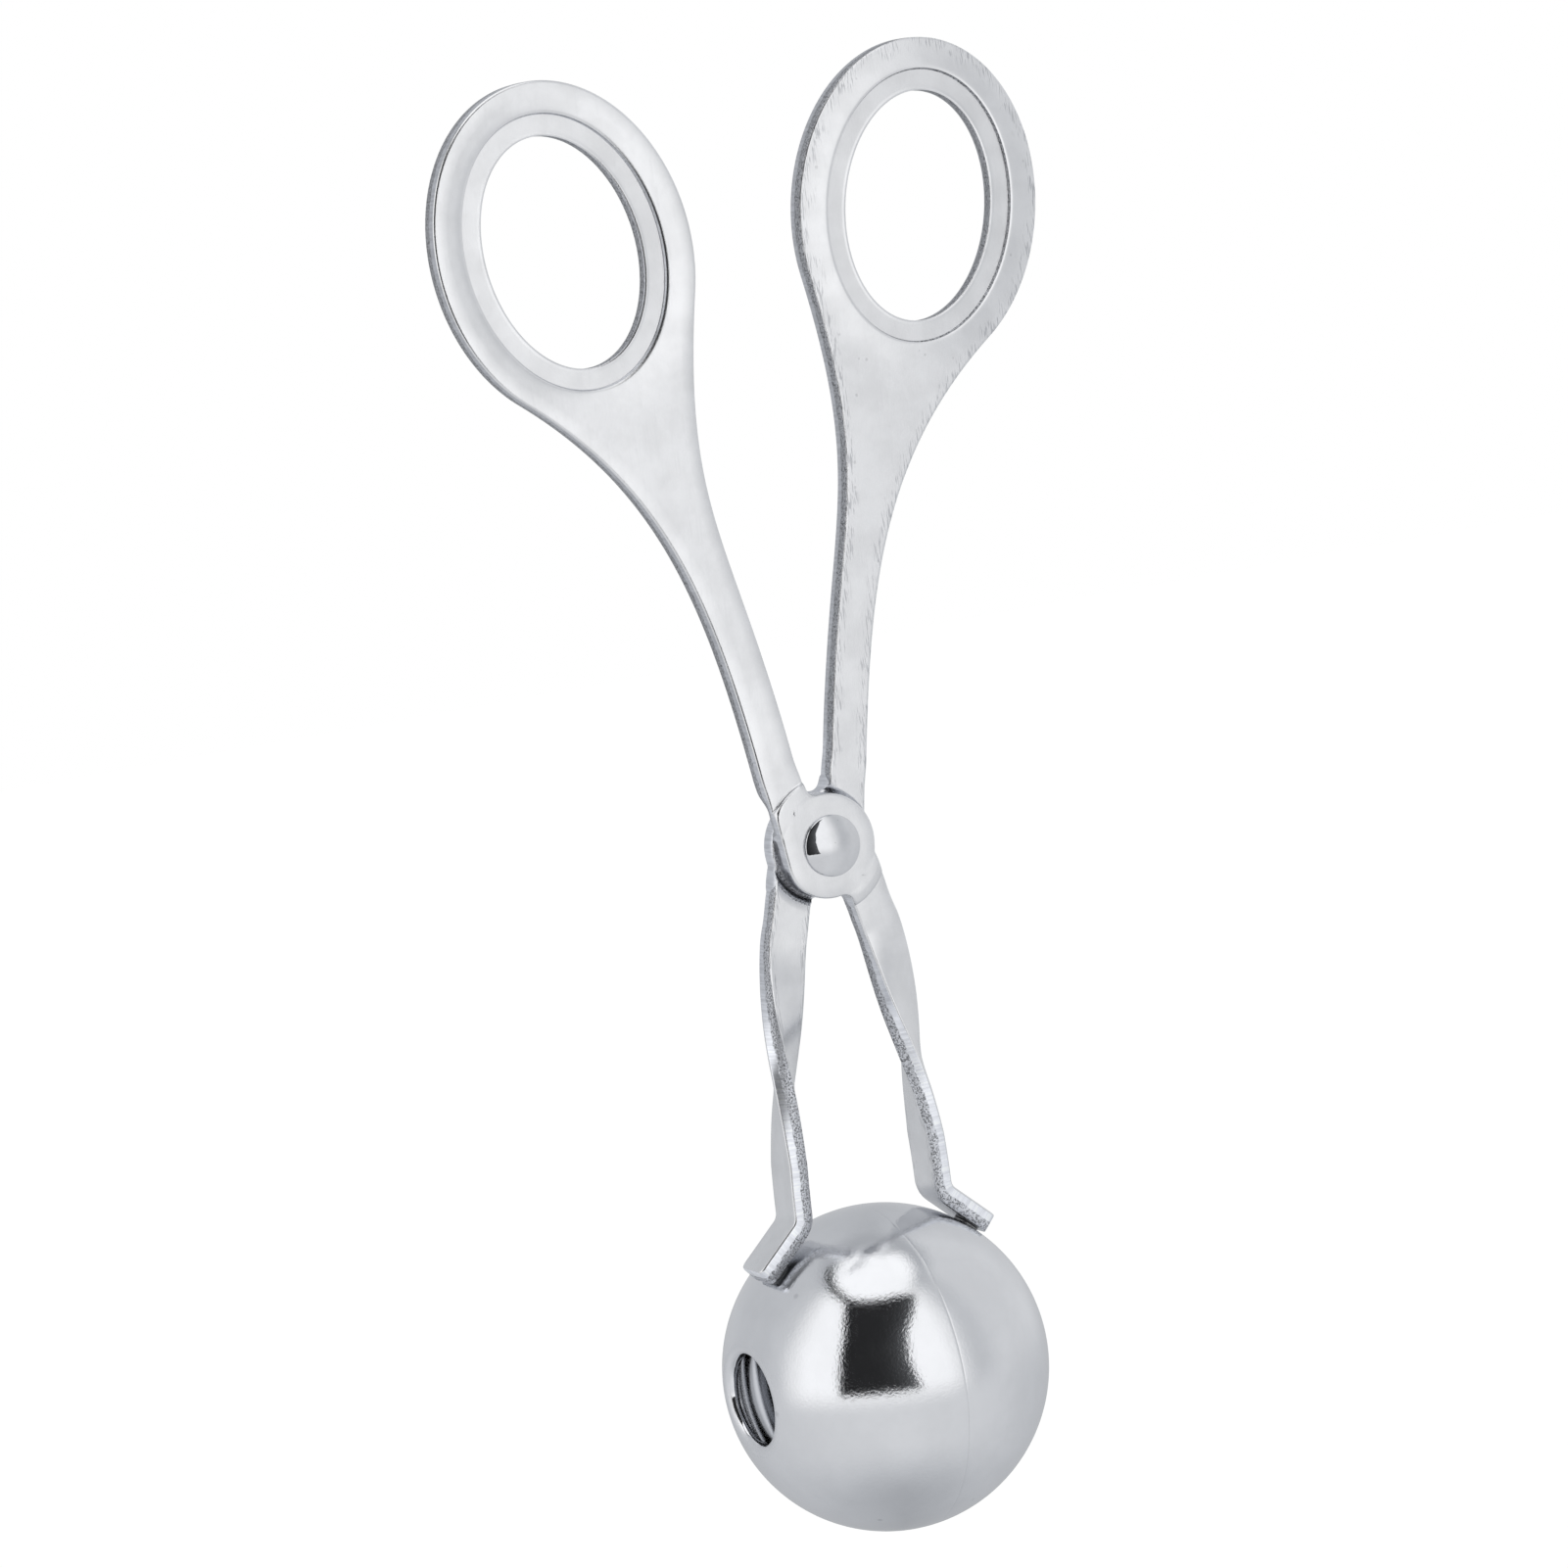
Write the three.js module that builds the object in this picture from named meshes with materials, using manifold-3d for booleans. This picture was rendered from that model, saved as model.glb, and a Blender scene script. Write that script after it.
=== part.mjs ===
// Meatball tongs: two identical stamped steel arms cross at a rivet, and each carries half of a ball mould.
// Millimetres, +Z up along the length. The arms open along X and turn about Y, and the front faces -Y.
// The origin is the lowest point of the closed ball.

import * as THREE from "three";
import { mergeVertices } from "three/addons/utils/BufferGeometryUtils.js";
import Module from "manifold-3d";

const wasm = await Module();
wasm.setup();

// Ball: two pressed cups that meet rim to rim
const ballRadius = 20;
const cupWall = 1;
const seamGap = 0.2;
const ventRadius = 5.35;
const ventLip = 0.6;

// Sheet that both arms are stamped from
const sheetThickness = 2.5;

// Pivot: its height above the ball's centre, the boss and the rivet
const pivotHeight = 64.1;
const bossRadius = 6.3;
const bossGap = 0.1;
const stepRadius = 8.55;
const stepOverlap = 0.2;
const bossFillet = 1.6;
const cheekDrop = 1.7;
const cheekAngle = 235;
const rivetRadius = 2.4;
const rivetClearance = 0.08;
const rivetHeadRadius = 3.7;
const rivetHeadHeight = 1.5;
const rivetTailRadius = 3.5;
const rivetTailHeight = 1.2;
const rivetPlay = 0.06;

// Finger ring: its centre from the pivot, its tilt, and its bands from the hole outwards
const ringReach = 23.5;
const ringRise = 73.7;
const ringTilt = 12.7;
const fingerHoleHalfWidth = 9.9;
const fingerHoleHalfLength = 13.75;
const rebateWidth = 2.6;
const rebateDepth = 0.4;
const ringBand = 3.7;

// Shank: its root above the pivot, and the way each edge leaves the root and flares into the ring
const shankRootRise = 8;
const shankRootReach = 4.62;
const shankWidth = 4.85;
const shankOuterLean = 10;
const shankOuterPull = 25.5;
const neckOuterAngle = 231;
const neckOuterPull = 14.9;
const shankInnerLean = 8;
const shankInnerPull = 31;
const neckInnerAngle = -29;
const neckInnerPull = 27.5;

// Leg: a strip that leaves the boss at a lean, twists a quarter turn and ends in a bent foot
const legWidth = 5.2;
const legRootDrop = 10;
const legRootReach = 6.2;
const legRootInset = 0.06;
const legRootFlare = 2.5;
const legLap = 2.5;
const legLean = 19;
const legReach = 9.7;
const legStartPull = 4;
const legEndPull = 10;
const twistStart = 1;
const twistLength = 26.5;
const twistAngle = 90;
const footAngle = 42;
const footLength = 8;
const footBendRadius = 2.6;

// Weld between a foot and its cup
const weldHeight = 0.3;
const weldRadius = 2.1;
const weldClearance = 0.04;

// Fineness of the curved surfaces, and the distance at which two corners count as one
const roundSegments = 48;
const cupSegments = 48;
const cupSteps = 10;
const lipSteps = 3;
const domeSteps = 4;
const curveSegments = 14;
const ringSegments = 40;
const legSegments = 44;
const legWidthSegments = 3;
const mergeDistance = 1e-5;

// Places that follow from the sizes above
const ballCentre = new THREE.Vector3(0, 0, ballRadius);
const pivot = new THREE.Vector3(0, 0, ballRadius + pivotHeight);
const halfSheet = sheetThickness / 2;
const bossOffset = halfSheet + bossGap / 2;
const cutDepth = 4 * sheetThickness;

// Finishes
const satinSteel = new THREE.MeshStandardMaterial({ color: 0xd6d8db, roughness: 0.38, metalness: 1 });
const polishedSteel = new THREE.MeshStandardMaterial({ color: 0xd9dbdd, roughness: 0.16, metalness: 1 });
const rivetSteel = new THREE.MeshStandardMaterial({ color: 0xc9cbcf, roughness: 0.14, metalness: 1 });
const weldSteel = new THREE.MeshStandardMaterial({ color: 0x8f9296, roughness: 0.5, metalness: 1 });

// Small helpers

function radians(degrees) {
  return THREE.MathUtils.degToRad(degrees);
}

// Turns a closed geometry into a solid for joins and cuts.
function toSolid(geometry) {
  const bare = geometry.clone();
  bare.deleteAttribute("normal");
  bare.deleteAttribute("uv");
  const merged = mergeVertices(bare, mergeDistance);
  const vertProperties = new Float32Array(merged.attributes.position.array);
  const triVerts = new Uint32Array(merged.index.array);
  return new wasm.Manifold(new wasm.Mesh({ numProp: 3, vertProperties, triVerts }));
}

// Turns a solid back into a geometry.
function toGeometry(solid) {
  const mesh = solid.getMesh();
  const geometry = new THREE.BufferGeometry();
  geometry.setAttribute("position", new THREE.BufferAttribute(new Float32Array(mesh.vertProperties), 3));
  geometry.setIndex(new THREE.BufferAttribute(new Uint32Array(mesh.triVerts), 1));
  geometry.computeVertexNormals();
  return geometry;
}

// Stands a flat outline up in the XZ plane and gives it a thickness centred on a plane of constant y.
function plate(shape, thickness, planeY) {
  const options = { depth: thickness, bevelEnabled: false, curveSegments };
  const geometry = new THREE.ExtrudeGeometry(shape, options);
  geometry.rotateX(Math.PI / 2);
  geometry.translate(0, planeY + thickness / 2, 0);
  return toSolid(geometry);
}

// A round bar along Y through the pivot, used to split and pierce the sheet.
function pivotBar(radius) {
  return toSolid(new THREE.CylinderGeometry(radius, radius, cutDepth, roundSegments));
}

// An upright ellipse prism of the finger ring, grown outwards from the hole and centred on a plane.
function ringPrism(growth, depth, planeY) {
  const ring = new THREE.Shape();
  ring.absellipse(
    -ringReach,
    ringRise,
    fingerHoleHalfWidth + growth,
    fingerHoleHalfLength + growth,
    0,
    2 * Math.PI,
    false,
    radians(ringTilt)
  );
  const flat = new THREE.Shape(ring.getPoints(ringSegments));
  return plate(flat, depth, planeY);
}

// Arm, drawn round the pivot with its handle to the left and its leg to the right

// A point of the ring's outer edge, and the direction in which that edge runs there.
function ringEdge(angleDegrees) {
  const growth = rebateWidth + ringBand;
  const angle = radians(angleDegrees);
  const tilt = radians(ringTilt);
  const centre = new THREE.Vector2(-ringReach, ringRise);
  const wide = fingerHoleHalfWidth + growth;
  const long = fingerHoleHalfLength + growth;
  const point = new THREE.Vector2(wide * Math.cos(angle), long * Math.sin(angle));
  const along = new THREE.Vector2(-wide * Math.sin(angle), long * Math.cos(angle)).normalize();
  const origin = new THREE.Vector2();
  return {
    point: point.rotateAround(origin, tilt).add(centre),
    along: along.rotateAround(origin, tilt),
  };
}

// The place where a straight edge, coming in along a direction, meets the boss disc.
function meetBoss(point, direction) {
  const along = point.dot(direction);
  const apart = point.clone().addScaledVector(direction, -along);
  const half = Math.sqrt(Math.max(bossRadius ** 2 - apart.lengthSq(), 0));
  return apart.addScaledVector(direction, -half);
}

// The point where two straight lines, each given by a point and a direction, cross.
function crossing(firstPoint, firstDirection, secondPoint, secondDirection) {
  const between = secondPoint.clone().sub(firstPoint);
  const run = between.cross(secondDirection) / firstDirection.cross(secondDirection);
  return firstPoint.clone().addScaledVector(firstDirection, run);
}

// The point at a distance along the boss disc's edge from a point on it, counted counter-clockwise.
function roundBoss(point, distance) {
  return point.clone().rotateAround(new THREE.Vector2(), distance / bossRadius);
}

// The flat blank of an arm: ring, neck, shank, boss disc and the root of the leg.
function armBlank() {
  const outerTop = ringEdge(neckOuterAngle);
  const innerTop = ringEdge(neckInnerAngle);
  const outerRoot = new THREE.Vector2(-shankRootReach - shankWidth / 2, shankRootRise);
  const innerRoot = new THREE.Vector2(-shankRootReach + shankWidth / 2, shankRootRise);
  const outerDown = new THREE.Vector2(Math.sin(radians(shankOuterLean)), -Math.cos(radians(shankOuterLean)));
  const innerDown = new THREE.Vector2(Math.sin(radians(shankInnerLean)), -Math.cos(radians(shankInnerLean)));
  const legDown = new THREE.Vector2(Math.sin(radians(legLean)), -Math.cos(radians(legLean)));
  const legAcross = new THREE.Vector2(-legDown.y, legDown.x);
  const legRoot = new THREE.Vector2(legRootReach, -legRootDrop);
  const legHalfRoot = legWidth / 2 - legRootInset;
  const legOuter = legRoot.clone().addScaledVector(legAcross, legHalfRoot);
  const legInner = legRoot.clone().addScaledVector(legAcross, -legHalfRoot);
  const origin = new THREE.Vector2();
  const legOuterUp = legDown.clone().negate().rotateAround(origin, -radians(legRootFlare));
  const legInnerUp = legDown.clone().negate().rotateAround(origin, radians(legRootFlare));

  const cheekStart = outerRoot.clone().addScaledVector(outerDown, (shankRootRise + cheekDrop) / -outerDown.y);
  const cheekEnd = new THREE.Vector2(bossRadius, 0).rotateAround(origin, radians(cheekAngle));
  const cheekAlong = new THREE.Vector2(-cheekEnd.y, cheekEnd.x).normalize();
  const cheekCorner = crossing(cheekStart, outerDown, cheekEnd, cheekAlong);
  const shankInnerMeet = meetBoss(innerRoot, innerDown);
  const legOuterMeet = meetBoss(legOuter, legOuterUp);
  const legInnerMeet = meetBoss(legInner, legInnerUp);
  const shankFilletStart = shankInnerMeet.clone().addScaledVector(innerDown, -bossFillet);
  const shankFilletEnd = roundBoss(shankInnerMeet, -bossFillet);
  const legFilletStart = roundBoss(legInnerMeet, -bossFillet);
  const legFilletEnd = legInnerMeet.clone().addScaledVector(legInnerUp, -bossFillet);

  const blank = new THREE.Shape();
  blank.moveTo(legInner.x, legInner.y);
  blank.lineTo(legOuter.x, legOuter.y);
  blank.lineTo(legOuterMeet.x, legOuterMeet.y);
  blank.absarc(0, 0, bossRadius, legOuterMeet.angle(), shankFilletEnd.angle(), false);
  blank.quadraticCurveTo(shankInnerMeet.x, shankInnerMeet.y, shankFilletStart.x, shankFilletStart.y);
  blank.lineTo(innerRoot.x, innerRoot.y);
  const innerRise = innerRoot.clone().addScaledVector(innerDown, -shankInnerPull);
  const innerNeck = innerTop.point.clone().addScaledVector(innerTop.along, -neckInnerPull);
  blank.bezierCurveTo(
    innerRise.x,
    innerRise.y,
    innerNeck.x,
    innerNeck.y,
    innerTop.point.x,
    innerTop.point.y
  );
  const ringArc = new THREE.EllipseCurve(
    -ringReach,
    ringRise,
    fingerHoleHalfWidth + rebateWidth + ringBand,
    fingerHoleHalfLength + rebateWidth + ringBand,
    radians(neckInnerAngle),
    radians(neckOuterAngle),
    false,
    radians(ringTilt)
  );
  for (const point of ringArc.getPoints(ringSegments)) {
    blank.lineTo(point.x, point.y);
  }
  const outerNeck = outerTop.point.clone().addScaledVector(outerTop.along, neckOuterPull);
  const outerRise = outerRoot.clone().addScaledVector(outerDown, -shankOuterPull);
  blank.bezierCurveTo(outerNeck.x, outerNeck.y, outerRise.x, outerRise.y, outerRoot.x, outerRoot.y);
  blank.lineTo(cheekStart.x, cheekStart.y);
  blank.quadraticCurveTo(cheekCorner.x, cheekCorner.y, cheekEnd.x, cheekEnd.y);
  blank.absarc(0, 0, bossRadius, cheekEnd.angle(), legFilletStart.angle(), false);
  blank.quadraticCurveTo(legInnerMeet.x, legInnerMeet.y, legFilletEnd.x, legFilletEnd.y);
  blank.lineTo(legInner.x, legInner.y);
  return blank;
}

// The centre line of the leg from inside its root: a curve to the vertical, the foot's bend and the foot.
function legPath() {
  const lean = radians(legLean);
  const slope = radians(footAngle);
  const leanDown = new THREE.Vector2(Math.sin(lean), -Math.cos(lean));
  const start = new THREE.Vector2(legRootReach, -legRootDrop);
  const lapped = start.clone().addScaledVector(leanDown, -legLap);
  const seat = ballRadius + weldHeight + halfSheet;
  const cornerDrop = pivotHeight - (seat - legReach * Math.sin(slope)) / Math.cos(slope);
  const bendRun = footBendRadius * Math.tan((Math.PI / 2 - slope) / 2);
  const bendStart = new THREE.Vector2(legReach, -cornerDrop + bendRun);
  const footDown = new THREE.Vector2(Math.cos(slope), -Math.sin(slope));
  const corner = new THREE.Vector2(legReach, -cornerDrop);
  const bendEnd = corner.clone().addScaledVector(footDown, bendRun);
  const tip = corner.clone().addScaledVector(footDown, footLength);
  const startPull = start.clone().addScaledVector(leanDown, legStartPull);
  const endPull = new THREE.Vector2(legReach, bendStart.y + legEndPull);
  const path = new THREE.CurvePath();
  path.add(new THREE.LineCurve(lapped, start));
  path.add(new THREE.CubicBezierCurve(start, startPull, endPull, bendStart));
  path.add(new THREE.QuadraticBezierCurve(bendStart, corner, bendEnd));
  path.add(new THREE.LineCurve(bendEnd, tip));
  return path;
}

// The leg as a strip bent along its path, with its front face turning outwards by the twist.
function legStrip() {
  const path = legPath();
  const length = path.getLength();
  const strip = new THREE.BoxGeometry(legWidth, sheetThickness, length, legWidthSegments, 1, legSegments);
  const positions = strip.attributes.position;
  const up = new THREE.Vector3(0, 1, 0);
  for (let i = 0; i < positions.count; i += 1) {
    const run = THREE.MathUtils.clamp(length / 2 - positions.getZ(i), 0, length);
    const point = path.getPointAt(run / length);
    const tangent = path.getTangentAt(run / length);
    const across = new THREE.Vector3(-tangent.y, 0, tangent.x);
    const share = THREE.MathUtils.clamp((run - legLap - twistStart) / twistLength, 0, 1);
    const twist = radians(twistAngle) * share;
    const wide = across.clone().multiplyScalar(Math.cos(twist)).addScaledVector(up, Math.sin(twist));
    const thick = up.clone().multiplyScalar(Math.cos(twist)).addScaledVector(across, -Math.sin(twist));
    const place = new THREE.Vector3(point.x, 0, point.y);
    place.addScaledVector(wide, positions.getX(i));
    place.addScaledVector(thick, positions.getY(i));
    positions.setXYZ(i, place.x, place.y, place.z);
  }
  return toSolid(strip);
}

// One arm: the flat blank, its boss pushed half a sheet forward, and the formed leg.
function armGeometry() {
  const blank = armBlank();
  const flat = plate(blank, sheetThickness, 0).subtract(pivotBar(stepRadius - stepOverlap));
  const boss = plate(blank, sheetThickness, -bossOffset).intersect(pivotBar(stepRadius));
  const rebateReach = 2 * rebateDepth;
  const frontRebate = ringPrism(rebateWidth, rebateReach, -halfSheet);
  const backRebate = ringPrism(rebateWidth, rebateReach, halfSheet);
  const arm = flat
    .add(boss)
    .add(legStrip())
    .subtract(pivotBar(rivetRadius + rivetClearance))
    .subtract(ringPrism(0, cutDepth, 0))
    .subtract(frontRebate)
    .subtract(backRebate);
  return toGeometry(arm);
}

// Cup: half a hollow ball with a vent at its pole, turned about its own axis with the pole along +Y
function cupGeometry() {
  const inner = ballRadius - cupWall;
  const rim = seamGap / 2;
  const profile = [];
  const outerStart = Math.asin(rim / ballRadius);
  const outerEnd = Math.acos((ventRadius + ventLip) / ballRadius);
  for (let i = 0; i <= cupSteps; i += 1) {
    const angle = THREE.MathUtils.lerp(outerStart, outerEnd, i / cupSteps);
    profile.push(new THREE.Vector2(ballRadius * Math.cos(angle), ballRadius * Math.sin(angle)));
  }
  const lipTop = ballRadius * Math.sin(outerEnd);
  for (let i = 1; i <= lipSteps; i += 1) {
    const turn = (Math.PI / 2) * (i / lipSteps);
    const radius = ventRadius + ventLip * (1 - Math.sin(turn));
    profile.push(new THREE.Vector2(radius, lipTop - ventLip * (1 - Math.cos(turn))));
  }
  const innerStart = Math.asin(rim / inner);
  const innerEnd = Math.acos(ventRadius / inner);
  for (let i = cupSteps; i >= 0; i -= 1) {
    const angle = THREE.MathUtils.lerp(innerStart, innerEnd, i / cupSteps);
    profile.push(new THREE.Vector2(inner * Math.cos(angle), inner * Math.sin(angle)));
  }
  profile.push(profile[0].clone());
  return new THREE.LatheGeometry(profile, cupSegments);
}

// Rivet: a domed head in front, a plain shank and a peened tail behind, turned about Y

// Points of a dome from its rim to the axis, standing away from a plane at height base.
function domeProfile(radius, height, base, side) {
  const curve = (radius ** 2 + height ** 2) / (2 * height);
  const halfAngle = Math.asin(radius / curve);
  const points = [];
  for (let i = 0; i <= domeSteps; i += 1) {
    const angle = halfAngle * (1 - i / domeSteps);
    const rise = curve * Math.cos(angle) - (curve - height);
    points.push(new THREE.Vector2(curve * Math.sin(angle), base + side * rise));
  }
  return points;
}

function rivetGeometry() {
  const seat = sheetThickness + bossGap / 2 + rivetPlay;
  const head = domeProfile(rivetHeadRadius, rivetHeadHeight, -seat, -1).reverse();
  const tail = domeProfile(rivetTailRadius, rivetTailHeight, seat, 1);
  const shank = [new THREE.Vector2(rivetRadius, -seat), new THREE.Vector2(rivetRadius, seat)];
  return new THREE.LatheGeometry([...head, ...shank, ...tail], roundSegments);
}

// Weld: a thin button in the gap between a foot and its cup, hollowed to the ball, turned about Y
function weldGeometry() {
  const top = ballRadius + weldHeight - weldClearance;
  const seat = ballRadius + weldClearance;
  const profile = [new THREE.Vector2(0, seat)];
  for (let i = 1; i <= domeSteps; i += 1) {
    const radius = weldRadius * (i / domeSteps);
    profile.push(new THREE.Vector2(radius, Math.sqrt(seat ** 2 - radius ** 2)));
  }
  profile.push(new THREE.Vector2(weldRadius, top));
  profile.push(new THREE.Vector2(0, top));
  return new THREE.LatheGeometry(profile, roundSegments);
}

// Assembly

function addMesh(parent, name, geometry, material) {
  const mesh = new THREE.Mesh(geometry, material);
  mesh.name = name;
  parent.add(mesh);
  return mesh;
}

// One half of the tongs: an arm, the cup on its foot and the weld between them.
function addHalf(parent, armName, cupName, weldName, halfTurn) {
  const half = new THREE.Group();
  half.rotation.z = halfTurn;
  parent.add(half);
  const arm = addMesh(half, armName, armGeometry(), satinSteel);
  arm.position.copy(pivot);
  const cup = addMesh(half, cupName, cupGeometry(), polishedSteel);
  cup.rotation.z = -Math.PI / 2;
  cup.position.copy(ballCentre);
  const weld = addMesh(half, weldName, weldGeometry(), weldSteel);
  weld.rotation.order = "YXZ";
  weld.rotation.set(Math.PI / 2, radians(footAngle), 0);
  weld.position.copy(ballCentre);
}

const tongs = new THREE.Group();
addHalf(tongs, "front_arm", "right_cup", "right_weld", 0);
addHalf(tongs, "rear_arm", "left_cup", "left_weld", Math.PI);
const rivet = addMesh(tongs, "pivot_rivet", rivetGeometry(), rivetSteel);
rivet.position.copy(pivot);

export default tongs;
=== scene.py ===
"""Looks for meatball tongs: two stamped arms on a rivet, two pressed cups and the spot welds between them.

Sizes are in millimetres and angles in degrees until a mesh is written, which is in metres.
The front faces -Y, +Z runs up the tongs, and plane shapes of an arm are drawn in XZ round the pivot.
"""

import logging
import math
from dataclasses import dataclass, field
from enum import Enum
from typing import Any, Callable, Sequence

import bmesh
import bpy
import numpy as np
from bpy.types import ID, Material, Mesh, Node, NodeSocket, NodeTree, Object
from mathutils import Matrix, Vector
from mathutils.geometry import delaunay_2d_cdt


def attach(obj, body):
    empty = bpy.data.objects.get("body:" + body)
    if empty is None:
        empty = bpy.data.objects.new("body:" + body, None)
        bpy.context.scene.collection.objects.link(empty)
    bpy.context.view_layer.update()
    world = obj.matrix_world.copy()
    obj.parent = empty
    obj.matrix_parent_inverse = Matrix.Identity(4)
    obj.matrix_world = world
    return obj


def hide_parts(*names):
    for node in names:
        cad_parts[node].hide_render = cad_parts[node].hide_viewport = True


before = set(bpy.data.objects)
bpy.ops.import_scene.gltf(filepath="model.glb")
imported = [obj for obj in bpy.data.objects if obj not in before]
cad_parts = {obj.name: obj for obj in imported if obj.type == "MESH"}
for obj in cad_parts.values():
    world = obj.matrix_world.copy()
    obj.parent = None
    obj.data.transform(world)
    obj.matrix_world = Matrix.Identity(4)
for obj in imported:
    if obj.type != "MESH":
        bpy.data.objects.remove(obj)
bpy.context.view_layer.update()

MM = 0.001
LINE_STEP = 0.05
MERGE_DISTANCE = 1e-7
CROSSING_DISTANCE = 1e-9
SEARCH_STEPS = 18

# The relief behind the front boss, which the rear arm turns through.
FRONT_RELIEF = 1.32

# A chamfer's stops: how far out and how far down they are, as shares of its size, and their wall values.
CHAMFER = ((1.0, 0.0, 0.0), (0.9, 0.1, 0.0), (0.1, 0.9, 0.2), (0.0, 1.0, 1.0))

VALUE = "NodeSocketFloat"
VECTOR = "NodeSocketVector"
GEOMETRY = "NodeSocketGeometry"

Span = tuple[float, float]
Sweep = tuple[float, float, float, float]

log = logging.getLogger("tongs")


class Slot(Enum):
    """The record's material slots."""

    ARM = "arm_steel"
    CUP = "cup_steel"
    RIVET = "rivet_steel"
    WELD = "weld_steel"


class Half(Enum):
    """The two halves of the tongs: the body, the node names and the turn about the length of each."""

    FRONT = ("front_half", "front_arm", "right_cup", "right_weld", 0.0)
    REAR = ("rear_half", "rear_arm", "left_cup", "left_weld", 180.0)

    def __init__(self, body: str, arm: str, cup: str, weld: str, degrees: float) -> None:
        """Keeps the names of a half and the turn that puts a front piece in it."""
        self.body, self.arm, self.cup, self.weld = body, arm, cup, weld
        self.turn = Matrix.Rotation(math.radians(degrees), 4, "Z")

    def raised(self, rise: float) -> Matrix:
        """Gives the place of a piece that is drawn round a point at a height in millimetres."""
        return self.turn @ Matrix.Translation(Vector((0.0, 0.0, rise * MM)))


# Plane lines


def heading(degrees: float) -> np.ndarray:
    """A unit vector that points down and leans towards +X by an angle from the vertical."""
    angle = math.radians(degrees)
    return np.array([math.sin(angle), -math.cos(angle)])


def on_circle(radius: float, degrees: float) -> np.ndarray:
    """A point on a circle round the pivot."""
    angle = math.radians(degrees)
    return radius * np.array([math.cos(angle), math.sin(angle)])


def bearing(point: Sequence[float]) -> float:
    """The angle in degrees of a point seen from the origin."""
    return math.degrees(math.atan2(point[1], point[0]))


def turned(point: np.ndarray, degrees: float) -> np.ndarray:
    """A point turned round the pivot, counter-clockwise."""
    angle = math.radians(degrees)
    cos, sin = math.cos(angle), math.sin(angle)
    return np.array([cos * point[0] - sin * point[1], sin * point[0] + cos * point[1]])


def straight(start: np.ndarray, end: np.ndarray) -> np.ndarray:
    """Samples a straight line between two points, both included."""
    count = max(2, int(np.linalg.norm(end - start) / LINE_STEP))
    return np.linspace(start, end, count)


def bezier(*controls: np.ndarray) -> np.ndarray:
    """Samples a Bezier curve of any order.

    Args:
        controls: The control points, ends included.

    Returns:
        The points in order, both ends included.
    """
    span = sum(np.linalg.norm(b - a) for a, b in zip(controls, controls[1:]))
    share = np.linspace(0.0, 1.0, max(3, int(span / LINE_STEP)))[:, None]
    order = len(controls) - 1
    total = np.zeros((len(share), 2))
    for index, control in enumerate(controls):
        weight = math.comb(order, index) * share**index * (1 - share) ** (order - index)
        total = total + weight * control
    return total


def round_arc(radius: float, start: float, end: float) -> np.ndarray:
    """Samples an arc round the pivot between two angles in degrees, clockwise for a falling angle."""
    count = max(3, int(radius * abs(math.radians(end - start)) / LINE_STEP))
    return np.array([on_circle(radius, angle) for angle in np.linspace(start, end, count)])


def chain(*stretches: np.ndarray) -> np.ndarray:
    """Joins stretches of points, each starting where the last one ends, into one line."""
    return np.concatenate([stretches[0]] + [stretch[1:] for stretch in stretches[1:]])


def line_crossing(p: np.ndarray, along_p: np.ndarray, q: np.ndarray, along_q: np.ndarray) -> np.ndarray:
    """Finds where two straight lines cross.

    Args:
        p: A point of the first line.
        along_p: Direction of the first line.
        q: A point of the second line.
        along_q: Direction of the second line.

    Returns:
        The crossing point.
    """
    between = q - p
    cross = along_p[0] * along_q[1] - along_p[1] * along_q[0]
    run = (between[0] * along_q[1] - between[1] * along_q[0]) / cross
    return p + run * along_p


@dataclass
class EdgeLine:
    """A dense line along one side of a blank, with the direction into the sheet at each point.

    Attributes:
        points: The points in order.
        inward_left: True where the sheet lies to the left of the way along the line.
    """

    points: np.ndarray
    inward_left: bool
    run: np.ndarray = field(init=False)
    inward: np.ndarray = field(init=False)

    def __post_init__(self) -> None:
        """Works out the length along the line and the inward directions."""
        steps = np.linalg.norm(np.diff(self.points, axis=0), axis=1)
        self.run = np.concatenate([[0.0], np.cumsum(steps)])
        along = np.gradient(self.points, axis=0)
        along /= np.linalg.norm(along, axis=1)[:, None]
        side = 1.0 if self.inward_left else -1.0
        self.inward = side * np.stack([-along[:, 1], along[:, 0]], axis=1)

    def at(self, run: float) -> tuple[np.ndarray, np.ndarray]:
        """Gives the point and the inward direction at a length along the line.

        Args:
            run: Length from the line's start.

        Returns:
            The point and its inward unit direction.
        """
        point = np.array([np.interp(run, self.run, self.points[:, k]) for k in (0, 1)])
        inward = np.array([np.interp(run, self.run, self.inward[:, k]) for k in (0, 1)])
        return point, inward / np.linalg.norm(inward)

    def run_at_radius(self, radius: float, last: bool) -> float:
        """Gives the length at the first or the last point inside a circle round the pivot."""
        inside = np.nonzero(np.linalg.norm(self.points, axis=1) < radius)[0]
        return float(self.run[inside[-1 if last else 0]])


def smooth(share: float) -> float:
    """Eases a share from 0 to 1, held at both ends."""
    held = min(max(share, 0.0), 1.0)
    return held * held * (3.0 - 2.0 * held)


def eased(value: float, fade: Span) -> float:
    """Eases from 0 to 1 past a start and over a run."""
    return smooth((value - fade[0]) / fade[1])


def window(value: float, start: float, start_run: float, end: float, end_run: float) -> float:
    """Eases from 0 to 1 past a start and back to 0 before an end, each over its own run."""
    return smooth((value - start) / start_run) * smooth((end - value) / end_run)


# Meshes


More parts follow.
